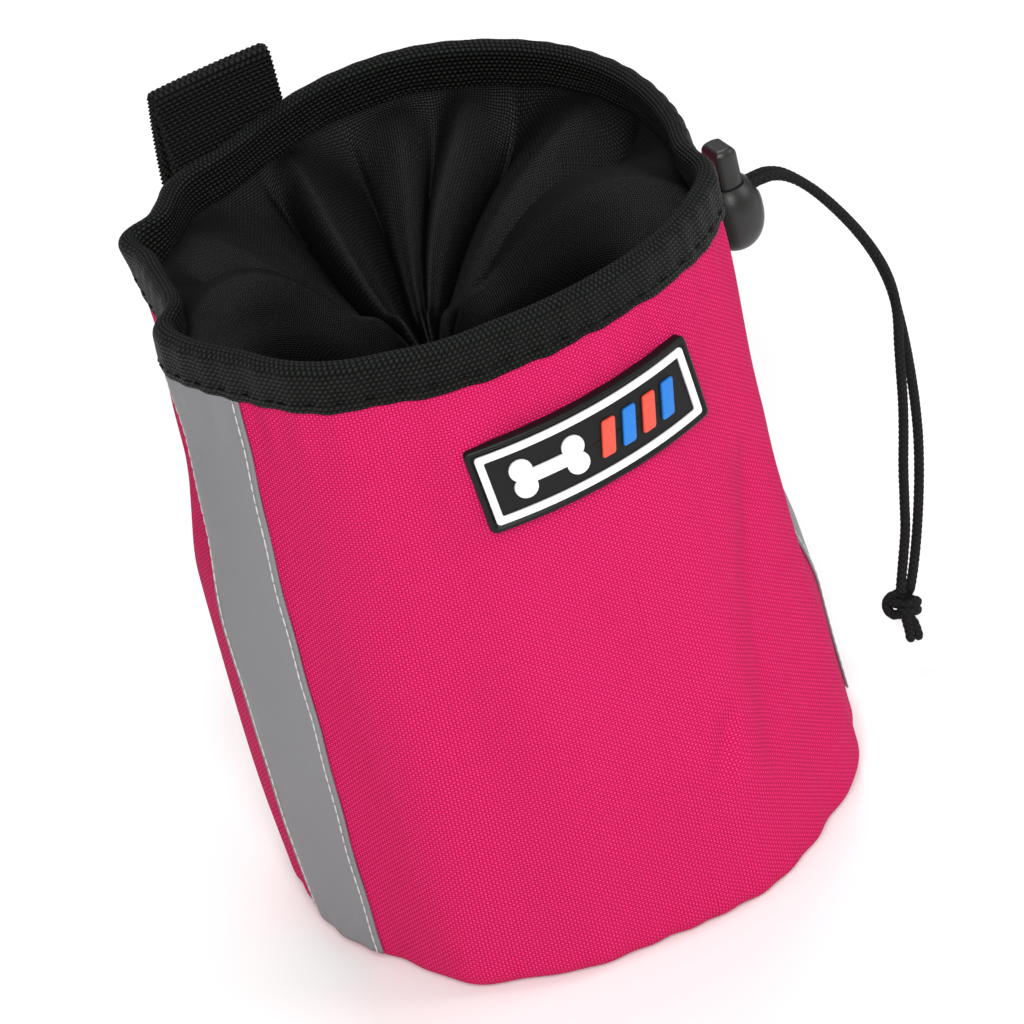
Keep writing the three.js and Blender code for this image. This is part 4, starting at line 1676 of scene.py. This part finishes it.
    def bar(self, index: int) -> Piece:
        """One slanted bar.

        Args:
            index: its number, from the left.

        Returns:
            The flat bar.
        """
        def outline(inset: float, z: float) -> np.ndarray:
            """The bar's slanted outline.

            Args:
                inset: how far inside the bar's edge.
                z: the height.

            Returns:
                The outline's points.
            """
            ring = self.rounded(self.bar_width - 2 * inset, self.bar_height - 2 * inset,
                                0.45 * MM - 0.5 * inset, z)
            ring[:, 0] += self.slant * ring[:, 1] + self.first_bar + index * self.bar_pitch
            return ring
        return self.raised(f"label_slant_{index + 1}", outline)

    def build(self) -> None:
        """Makes and dresses every part of the label."""
        dress = self.shop.dress
        for piece, finish, node in [
                (self.plate(), Finish.LABEL_BLACK, "label_base"),
                (self.border(), Finish.LABEL_WHITE, "label_frame"),
                (self.raised("label_dog_bone", self.bone_outline), Finish.LABEL_WHITE, "label_bone")]:
            dress(place(piece, self.on_wall), finish, "pouch", [node])
        for index in range(4):
            finish = Finish.LABEL_BLUE if index % 2 else Finish.LABEL_ORANGE
            dress(place(self.bar(index), self.on_wall), finish, "pouch", [f"label_bar_{index + 1}"])


# ---- Belt loop ----


@dataclass
class BeltLoop:
    """One length of webbing, sewn on under the rim, folded over above it and sewn on again lower down."""

    shape: BagShape
    shop: Workshop
    stitches: StitchTree
    width: float = 25.4 * MM
    thickness: float = 1.6 * MM
    centre: float = -13.2 * MM
    fold_depth: float = 59 * MM
    fold_height: float = 147.2 * MM
    fold_radius: float = 1.2 * MM
    anchor_top: float = 76 * MM
    anchor_foot: float = 60 * MM
    pebble_height: float = 0.13 * MM
    raggedness: float = 0.22 * MM

    def line(self) -> np.ndarray:
        """The middle of the webbing's thickness, as depth and height.

        Returns:
            The points, from under the rim to the lower end.
        """
        lift = GAP + self.thickness / 2

        def wall(level: float) -> float:
            """The depth at which the webbing lies on the wall."""
            return float(self.shape.back_depth(np.array(self.centre), np.array(level))) + lift

        fold_centre = (self.fold_depth + self.fold_radius, self.fold_height)
        fold = arc_points(fold_centre, self.fold_radius, 180, 0, 10)
        front = smooth_line([[wall(98 * MM), 98 * MM], [wall(108 * MM), 108 * MM],
                             [wall(118 * MM) + 0.1 * MM, 118 * MM], [self.fold_depth - 0.2 * MM, 130 * MM],
                             [self.fold_depth, 139 * MM], fold[0]], 0.5 * MM)
        lower = smooth_line([fold[-1], [64.2 * MM, 139 * MM], [67.2 * MM, 127 * MM], [67.6 * MM, 117 * MM],
                             [67.4 * MM, 106 * MM], [66.4 * MM, 95 * MM], [62.9 * MM, 85 * MM],
                             [wall(76.5 * MM) + 0.1 * MM, 76.5 * MM], [wall(68 * MM), 68 * MM],
                             [wall(self.anchor_foot), self.anchor_foot]], 0.5 * MM)
        return even_steps(np.vstack([front, fold[1:-1], lower]), WEBBING_PEBBLE[1] / 2)

    def placed(self, across: np.ndarray, depth: np.ndarray, z: np.ndarray, front: np.ndarray) -> np.ndarray:
        """Bends the sewn stretches round the wall and leaves the rest flat.

        Args:
            across: places across the webbing.
            depth: how far behind the middle.
            z: heights.
            front: which rows lie on the front layer.

        Returns:
            The places on the pouch.
        """
        sewn_front = 1 - smooth_step(114 * MM, 129 * MM, z)
        sewn_back = 1 - smooth_step(self.anchor_top, self.anchor_top + 12 * MM, z)
        sewn = np.where(front, sewn_front, sewn_back)
        x = across + self.centre
        middle = self.shape.back_depth(np.full_like(z, self.centre), z)
        follow = self.shape.back_depth(x, z) - middle
        cup = 0.5 * MM * (2 * across / self.width) ** 2 * (1 - sewn)
        return np.stack([x, depth + sewn * follow - cup, z], -1)

    def build(self) -> None:
        """Makes and dresses the webbing and its stitches."""
        line = self.line()
        along = np.gradient(line, axis=0)
        along /= np.linalg.norm(along, axis=1)[:, None]
        out = np.column_stack([-along[:, 1], along[:, 0]])
        steps = round(self.width / WEBBING_PEBBLE[0]) * 2
        across = np.linspace(-0.5, 0.5, steps + 1)
        half = self.thickness / 2
        past = ((np.abs(across) * self.width - self.width / 2 + half) / half).clip(0)
        edge = np.sqrt(np.clip(1 - past ** 2, 0.02, 1))
        front = np.arange(len(line)) < np.argmax(line[:, 1])
        faces = []
        for side in (-1, 1):
            column = np.arange(steps + 1) if side > 0 else np.arange(steps + 1)[::-1]
            row = np.arange(len(line))
            pebble = self.pebble_height * np.where((row[:, None] + column[None, :]) % 2 == 0, 1, -1)
            lift = side * (half * edge[column][None, :] + pebble * (edge[column][None, :] > 0.7))
            at_edge = np.abs(across[column]) > 0.49
            ragged = self.raggedness * np.where(row % 2 == 0, 1, -1)[:, None] * at_edge
            width = across[column][None, :] * self.width + ragged * np.sign(across[column])[None, :]
            faces.append((np.broadcast_to(width, lift.shape), line[:, :1] + out[:, :1] * lift,
                          line[:, 1:] + out[:, 1:] * lift))
        width, depth, z = (np.concatenate([faces[0][k], faces[1][k]], 1) for k in range(3))
        points = self.placed(width, depth, z, front[:, None])
        count = np.arange(steps + 1)
        around = np.concatenate([count, count, [0.0]]) * WEBBING_PEBBLE[0] / 2
        flat = np.stack(np.meshgrid(around, np.arange(len(line)) * WEBBING_PEBBLE[1] / 2), -1)
        strap = quad_grid("belt_webbing", points, flat, wrap=True)
        edit_mesh(strap, lambda work: bmesh.ops.holes_fill(
            work, edges=[border for border in work.edges if border.is_boundary]))
        self.shop.dress(face_outwards(strap), Finish.WEBBING, "pouch", ["belt_loop"])
        self.sew_on()

    def sew_on(self) -> None:
        """A box of stitches with a cross at the loop's lower end."""
        low, high = self.anchor_foot + 2 * MM, self.anchor_top - 1 * MM
        side = self.width / 2 - 2.2 * MM
        corners = [(-side, low), (side, low), (side, high), (-side, high), (-side, low)]
        runs = [*zip(corners, corners[1:]), (corners[0], corners[2]), (corners[1], corners[3])]
        routes = []
        for start, end in runs:
            run = even_steps(np.array([start, end]), 1 * MM)
            z = run[:, 1]
            lift = GAP + self.thickness + 0.1 * MM
            depth = self.shape.back_depth(np.full_like(z, self.centre), z) + lift
            routes.append(self.placed(run[:, 0], depth, z, np.zeros(len(z), bool)))
        self.shop.dress(
            self.stitches.sew("loop_stitches", routes, self.shop.materials[Finish.BLACK_THREAD],
                              2.6 * MM, 2.1 * MM, 0.5 * MM, seed=9), Finish.BLACK_THREAD, "pouch")


# ---- Drawcord ----


@dataclass
class Drawcord:
    """A braided cord: its two free strands, the knot that ends them and the part inside the bag."""

    shop: Workshop
    diameter: float = CORD_DIAMETER
    spacing: float = 2.3 * MM
    front_route: tuple[tuple[float, float, float], ...] = (
        (0.0673, -0.00115, 0.1112), (0.0695, -0.00115, 0.1109), (0.0722, -0.0012, 0.1096),
        (0.0748, -0.0013, 0.1073), (0.0773, -0.0015, 0.1043), (0.0797, -0.0018, 0.1007),
        (0.0822, -0.0021, 0.0964), (0.0846, -0.0025, 0.0916), (0.0866, -0.0030, 0.0866),
        (0.0880, -0.0035, 0.0816), (0.0885, -0.0041, 0.0765), (0.0881, -0.0047, 0.0714),
        (0.0869, -0.0054, 0.0660), (0.0857, -0.0062, 0.0604), (0.0844, -0.0071, 0.0542),
        (0.0827, -0.0080, 0.0478), (0.0808, -0.0089, 0.0414), (0.0792, -0.0097, 0.0348),
        (0.0776, -0.0105, 0.0283), (0.0754, -0.0113, 0.0224), (0.0732, -0.0120, 0.0166))
    rear_route: tuple[tuple[float, float, float], ...] = (
        (0.0673, 0.00115, 0.1112), (0.0695, 0.00115, 0.1109), (0.0722, 0.0011, 0.1096),
        (0.0748, 0.0010, 0.1072), (0.0774, 0.0008, 0.1041), (0.0799, 0.0005, 0.1005),
        (0.0825, 0.0002, 0.0961), (0.0850, -0.0002, 0.0912), (0.0871, -0.0007, 0.0861),
        (0.0886, -0.0012, 0.0810), (0.0894, -0.0018, 0.0759), (0.0895, -0.0025, 0.0704),
        (0.0893, -0.0033, 0.0648), (0.0888, -0.0042, 0.0586), (0.0879, -0.0053, 0.0518),
        (0.0865, -0.0066, 0.0450), (0.0846, -0.0079, 0.0384), (0.0823, -0.0092, 0.0318),
        (0.0798, -0.0104, 0.0254), (0.0774, -0.0114, 0.0200), (0.0756, -0.0120, 0.0164))
    knot_centre: tuple[float, float, float] = (0.0728, -0.0117, 0.0128)
    knot_right: tuple[float, float, float] = (0.855, -0.474, -0.210)
    knot_up: tuple[float, float, float] = (0.423, 0.402, 0.812)
    ring_level: float = 100.6 * MM
    ring_centre: tuple[float, float] = (-6.5 * MM, -1.8 * MM)
    ring_radius: float = 4.6 * MM
    step: float = 0.26 * MM
    braid_relief: float = 0.13 * MM

    def braid(self, turn: np.ndarray, length: np.ndarray) -> np.ndarray:
        """How far the slanting threads stand out, round and along the cord.

        Args:
            turn: the turn round the cord, from 0 to 1.
            length: the length along it.

        Returns:
            The height of the threads.
        """
        x = turn * CORD_BRAID["strands"] + length / CORD_BRAID["pitch"]
        y = length / CORD_BRAID["pitch"] - turn * CORD_BRAID["strands"]
        over = (np.floor(x) + np.floor(y)) % 2
        across, along = np.sin(math.pi * (x % 1)), np.sin(math.pi * (y % 1))
        height = over * across ** 0.7 * along ** 0.3 + (1 - over) * along ** 0.7 * across ** 0.3
        return self.braid_relief * (height - 0.6)

    def cord(self, name: str, line: np.ndarray, sides: int = 20) -> Piece:
        """A braided tube along a line of points."""
        return tube(name, line, self.diameter / 2, sides, self.braid)

    def strands(self) -> list[tuple[Piece, np.ndarray]]:
        """The two free strands, from the lock to the knot.

        Returns:
            Each strand with its centreline.
        """
        made = []
        for side, route, node in (("front", self.front_route, "drawcord_strand_front"),
                                  ("rear", self.rear_route, "drawcord_strand_rear")):
            line = smooth_line(route, self.step)
            strand = self.cord(f"cord_strand_{side}", line)
            self.shop.dress(strand, Finish.CORD, "pouch", [node])
            made.append((strand, line))
        return made

    def knot(self) -> Piece:
        """An overhand knot of both strands: a loop, two wraps round the core and two cut tails.

        Returns:
            The knot as one object.
        """
        centre, right, up = (
            np.array(part) for part in (self.knot_centre, self.knot_right, self.knot_up))
        toward = np.cross(right, up)

        def laid(points: Sequence[Sequence[float]]) -> np.ndarray:
            """Places points given in millimetres across, up and towards the front of the knot."""
            flat = np.array(points) * MM
            return centre + flat[:, :1] * right + flat[:, 1:2] * up + flat[:, 2:] * toward

        turns = np.linspace(0, 1.9 * 2 * math.pi, 30)
        wraps = np.column_stack([1.5 - 1.65 * np.cos(turns), mix(1.5, -1.5, turns / turns[-1]),
                                 -1.5 * np.sin(turns)])
        loop = np.array([[-0.9 + 2.0 * math.cos(a), 2.0 * math.sin(a), 0.5 * math.cos(a)]
                         for a in np.radians(np.linspace(100, 260, 9))])
        start_front = (np.array(self.front_route[-1]) - centre) / MM
        start_rear = (np.array(self.rear_route[-1]) - centre) / MM
        front_in = [start_front @ right, start_front @ up, start_front @ toward]
        rear_in = [start_rear @ right, start_rear @ up, start_rear @ toward]
        first = laid([front_in, [0.2, 2.9, 0.5], *loop, [0.6, -1.8, 0.8], [1.1, -3.3, 0.5],
                      [1.6, -5.0, 0.3], [1.9, -6.6, 0.2]])
        second = laid([rear_in, [1.6, 2.9, -0.4], [0.6, 2.0, -0.8], *wraps, [2.2, -3.0, -0.5],
                       [3.0, -4.6, -0.4], [3.5, -6.2, -0.4]])
        inner = laid([[-2.4, 0.5, -0.2], [-1.0, 0.3, 0.5], [0.4, 0.3, 1.0], [1.8, -0.2, 0.6]])
        cords = [self.cord(f"knot_part_{number}", smooth_line(route, self.step), 14)
                 for number, route in enumerate((first, second, inner))]
        return join("overhand_knot", cords)

    def inside(self) -> Piece:
        """The part inside: out of the lock, through the wall, round the collar's hem and back.

        Returns:
            The cord.
        """
        level = self.ring_level

        def lead(sign: int, near: float) -> list[list[float]]:
            """One strand's way in: straight through the wall, then down and apart to the ring.

            Args:
                sign: -1 for the front strand, 1 for the rear one.
                near: where it meets the ring.

            Returns:
                The points, from the lock inwards.
            """
            side = sign * self.spacing / 2
            straight = [[x * MM, side, CORD_HEIGHT] for x in (67, 62, 58, 50)]
            return [*straight,
                    [42 * MM, 1.1 * side, CORD_HEIGHT - 0.9 * MM],
                    [30 * MM, 1.8 * side, CORD_HEIGHT - 3 * MM],
                    [17 * MM, 2.6 * side - 0.4 * MM, level + 3.4 * MM],
                    [4 * MM, near, level + 0.4 * MM]]

        ring = arc_points(self.ring_centre, self.ring_radius, -70, -290, 12)
        ring = np.column_stack([ring, np.full(len(ring), level)])
        route = [*lead(-1, -6.3 * MM), *ring.tolist(), *lead(1, 4.3 * MM)[::-1]]
        return self.cord("cord_inside", smooth_line(route, 0.4 * MM), 12)

    def build(self) -> None:
        strands = self.strands()
        knot = self.knot()
        self.shop.dress(knot, Finish.CORD, "pouch", ["cord_knot"])
        for strand, line in strands:
            line[::8].tolist() + [line[-1].tolist()]
        self.shop.dress(self.inside(), Finish.CORD, "pouch", ["drawcord_inner"])


# ---- Cord lock ----


@dataclass
class CordLock:
    """A bean-shaped lock: its body, the plunger that grips the cord and the spring under it."""

    shop: Workshop
    centre: tuple[float, float, float] = (60.2 * MM, 0.0, 107 * MM)
    radius: float = 6.2 * MM
    half_height: float = 8 * MM
    plunger_width: float = 7.2 * MM
    plunger_thickness: float = 4.6 * MM
    plunger_foot: float = 108 * MM
    bore: tuple[float, float] = (101.4 * MM, 118 * MM)
    body_slot: tuple[float, float] = (109.5 * MM, 112.9 * MM)
    plunger_slot: tuple[float, float] = (109.9 * MM, 116 * MM)
    slot_width: float = 4.9 * MM
    slot_corner: float = 1.35 * MM
    spring_ends: tuple[float, float] = (101.9 * MM, 107.5 * MM)
    coil_radius: float = 1.75 * MM
    wire_radius: float = 0.25 * MM
    coils: int = 4
    sides: int = 48
    voxel: float = 0.16 * MM
    rounds: int = 4

    def double_flat(self, width: float, thickness: float, z: float) -> np.ndarray:
        """A circle with two flat sides, at a height; the flats face along X.

        Args:
            width: the circle's width.
            thickness: the distance between the flats.
            z: the height.

        Returns:
            The outline's points.
        """
        flat = math.degrees(math.asin(thickness / width))
        right = arc_points((0, 0), width / 2, 90 - flat, 90 + flat, 12)
        left = arc_points((0, 0), width / 2, 270 - flat, 270 + flat, 12)
        sides = [right, mix(right[-1], left[0], np.linspace(0, 1, 8)[1:-1, None]), left,
                 mix(left[-1], right[0], np.linspace(0, 1, 8)[1:-1, None])]
        outline = np.vstack(sides)
        return np.column_stack([outline[:, 0] + self.centre[0], outline[:, 1], np.full(len(outline), z)])

    def slot(self, low: float, high: float) -> Piece:
        """A cutter for the way that both strands take through the lock, with round corners.

        Args:
            low: its lower side.
            high: its upper side.

        Returns:
            The cutting solid.
        """
        flat = np.vstack(round_corners(self.slot_width, high - low, self.slot_corner, 5))
        ring = np.column_stack([np.zeros(len(flat)), flat]) + [0, 0, (low + high) / 2]
        ends = [ring + [self.centre[0] + far, 0, 0] for far in (-10 * MM, 10 * MM)]
        return ring_loft("slot_cutter", ends)

    def carved(self, solid: Piece, cutters: Sequence[Piece]) -> Piece:
        """Cuts a solid, and rounds every edge as a mould would.

        Args:
            solid: what is cut.
            cutters: the cutting solids, which are used up.

        Returns:
            The solid, cut and smooth.
        """
        for cutter in cutters:
            cut = solid.modifiers.new("cut", "BOOLEAN")
            cut.operation = "DIFFERENCE"
            cut.solver = "EXACT"
            cut.object = cutter
        remesh = solid.modifiers.new("even", "REMESH")
        remesh.mode = "VOXEL"
        remesh.voxel_size = self.voxel
        soft = solid.modifiers.new("soft", "SMOOTH")
        soft.factor = 0.5
        soft.iterations = self.rounds
        settle_modifiers(solid)
        for cutter in cutters:
            bpy.data.objects.remove(cutter)
        return face_outwards(solid)

    def body(self) -> Piece:
        """The bean, with its bore and the slot for the strands.

        Returns:
            The body.
        """
        heights = np.linspace(-1, 1, 41)[1:-1]
        rings = []
        for height in heights:
            wide = (1 - abs(height) ** 2.3) ** (1 / 2.1) * self.radius
            turn = np.linspace(0, 2 * math.pi, self.sides, endpoint=False)
            rings.append(np.column_stack([
                self.centre[0] + wide * np.cos(turn), wide * np.sin(turn),
                np.full(self.sides, self.centre[2] + height * self.half_height)]))
        bean = ring_loft("lock_bean", rings)
        bore = ring_loft("bore_cutter", [
            self.double_flat(self.plunger_width + 2 * GAP, self.plunger_thickness + 2 * GAP, z)
            for z in self.bore])
        return self.carved(bean, [bore, self.slot(*self.body_slot)])

    def plunger(self) -> Piece:
        """The stem with a rounded top, and its own slot that lets it travel past the strands.

        Returns:
            The plunger.
        """
        steps = [(0.5, 0), (0.15, 0.15), (0, 0.5), (0, 11.8), (0.1, 12.6), (0.45, 13.25), (1.0, 13.55),
                 (1.5, 13.6)]
        rings = [self.double_flat(self.plunger_width - 2 * inset * MM,
                                  self.plunger_thickness - 2 * inset * MM,
                                  self.plunger_foot + rise * MM) for inset, rise in steps]
        stem = ring_loft("lock_plunger", rings)
        return self.carved(stem, [self.slot(*self.plunger_slot)])

    def spring(self) -> Piece:
        """A small coil spring under the plunger.

        Returns:
            The spring.
        """
        turns = np.linspace(0, self.coils, 40 * self.coils)
        angle = 2 * math.pi * turns
        line = np.column_stack([self.centre[0] + self.coil_radius * np.cos(angle),
                                self.coil_radius * np.sin(angle), mix(*self.spring_ends, turns / self.coils)])
        return tube("lock_spring", line, self.wire_radius, 8)

    def build(self) -> None:
        """Makes and dresses the lock."""
        self.shop.dress(self.body(), Finish.LOCK, "cord_lock", ["cord_lock_body"])
        self.shop.dress(self.plunger(), Finish.LOCK, "plunger", ["cord_lock_plunger"])
        self.shop.dress(self.spring(), Finish.STEEL, "cord_lock", ["cord_lock_spring"])


# ---- Camera, floor and light ----


@dataclass
class Studio:
    """The camera, the pale floor and the soft lights."""

    target: tuple[float, float, float] = (0.934 * MM, -1.670 * MM, 68.114 * MM)
    azimuth: float = -21
    elevation: float = 33
    roll: float = -14.5
    distance: float = 0.9
    lens: float = 166
    sensor: float = 36
    floor_size: float = 6.0
    aim: tuple[float, float, float] = (0, 0, 0.07)
    world_light: float = 0.34

    def camera(self) -> None:
        """Puts the camera in front, above and to the left, with a rolled horizon."""
        a, e, r = (math.radians(angle) for angle in (self.azimuth, self.elevation, self.roll))
        back = Vector((math.sin(a) * math.cos(e), -math.cos(a) * math.cos(e), math.sin(e)))
        level = Vector((math.cos(a), math.sin(a), 0))
        upright = back.cross(level)
        right = level * math.cos(r) + upright * math.sin(r)
        up = upright * math.cos(r) - level * math.sin(r)
        camera = bpy.data.objects.new("camera", bpy.data.cameras.new("camera"))
        camera.data.lens = self.lens
        camera.data.sensor_width = self.sensor
        camera.data.clip_start = 0.01
        camera.data.dof.use_dof = False
        turned = Matrix((right, up, back)).transposed()
        camera.matrix_world = Matrix.Translation(Vector(self.target) + back * self.distance) @ turned.to_4x4()
        bpy.context.scene.collection.objects.link(camera)
        bpy.context.scene.camera = camera

    def floor(self) -> None:
        """A wide, pale, matt floor."""
        half, level = self.floor_size / 2, -0.2 * MM
        corners = [(-half, -half, level), (half, -half, level), (half, half, level), (-half, half, level)]
        mesh = bpy.data.meshes.new("floor")
        mesh.from_pydata(corners, [], [(0, 1, 2, 3)])
        floor = new_object("floor", mesh)
        paint = Paint("pale_floor")
        cloud = paint.noise(paint.object_place(), 6)
        mesh.materials.append(paint.finish(
            Base_Color=paint.blend(cloud, (0.90, 0.90, 0.90, 1), (0.93, 0.93, 0.93, 1)), Roughness=0.9,
            Specular_IOR_Level=0.1))

    def light(self, name: str, where: Sequence[float], size: float, power: float,
              colour: tuple[float, float, float]) -> None:
        """A square soft light that faces the pouch.

        Args:
            name: the light's name.
            where: its place.
            size: its side.
            power: in watts.
            colour: its colour.
        """
        lamp = bpy.data.lights.new(name, "AREA")
        lamp.size = size
        lamp.energy = power
        lamp.color = colour
        made = bpy.data.objects.new(name, lamp)
        aim = Vector(self.aim) - Vector(where)
        made.matrix_world = Matrix.Translation(where) @ aim.to_track_quat("-Z", "Y").to_matrix().to_4x4()
        bpy.context.scene.collection.objects.link(made)

    def build(self) -> None:
        """Sets up everything round the object."""
        self.camera()
        self.floor()
        self.light("key", (-0.45, -1.05, 0.95), 0.55, 19, (1.0, 0.99, 0.975))
        self.light("fill", (0.95, -0.55, 0.75), 0.7, 6, (0.95, 0.98, 1.0))
        self.light("top", (0.25, 0.55, 1.25), 0.6, 8, (0.97, 0.99, 1.0))
        world = bpy.data.worlds.new("soft_room")
        world.use_nodes = True
        background = world.node_tree.nodes["Background"]
        background.inputs["Color"].default_value = (1, 1, 1, 1)
        background.inputs["Strength"].default_value = self.world_light
        scene = bpy.context.scene
        scene.world = world
        scene.view_settings.view_transform = "Standard"


def main() -> None:
    """Builds the pouch: the camera and the cords first, then the bag and all that is on it."""
    logging.basicConfig(level=logging.INFO, format="%(message)s")
    Studio().build()
    shop = Workshop(make_finishes())
    stitches = StitchTree()
    shape = BagShape()
    Drawcord(shop).build()
    CordLock(shop).build()
    Bag(shape, shop, stitches).build()
    Collar(shape, shop).build()
    for side, angle, lean in (("left", -80.4, 1.2), ("right", 72.0, 14.0)):
        Strip(shape, shop, stitches, side, angle, lean).build()
    Label(shape, shop).build()
    BeltLoop(shape, shop, stitches).build()


if __name__ == "__main__":
    main()
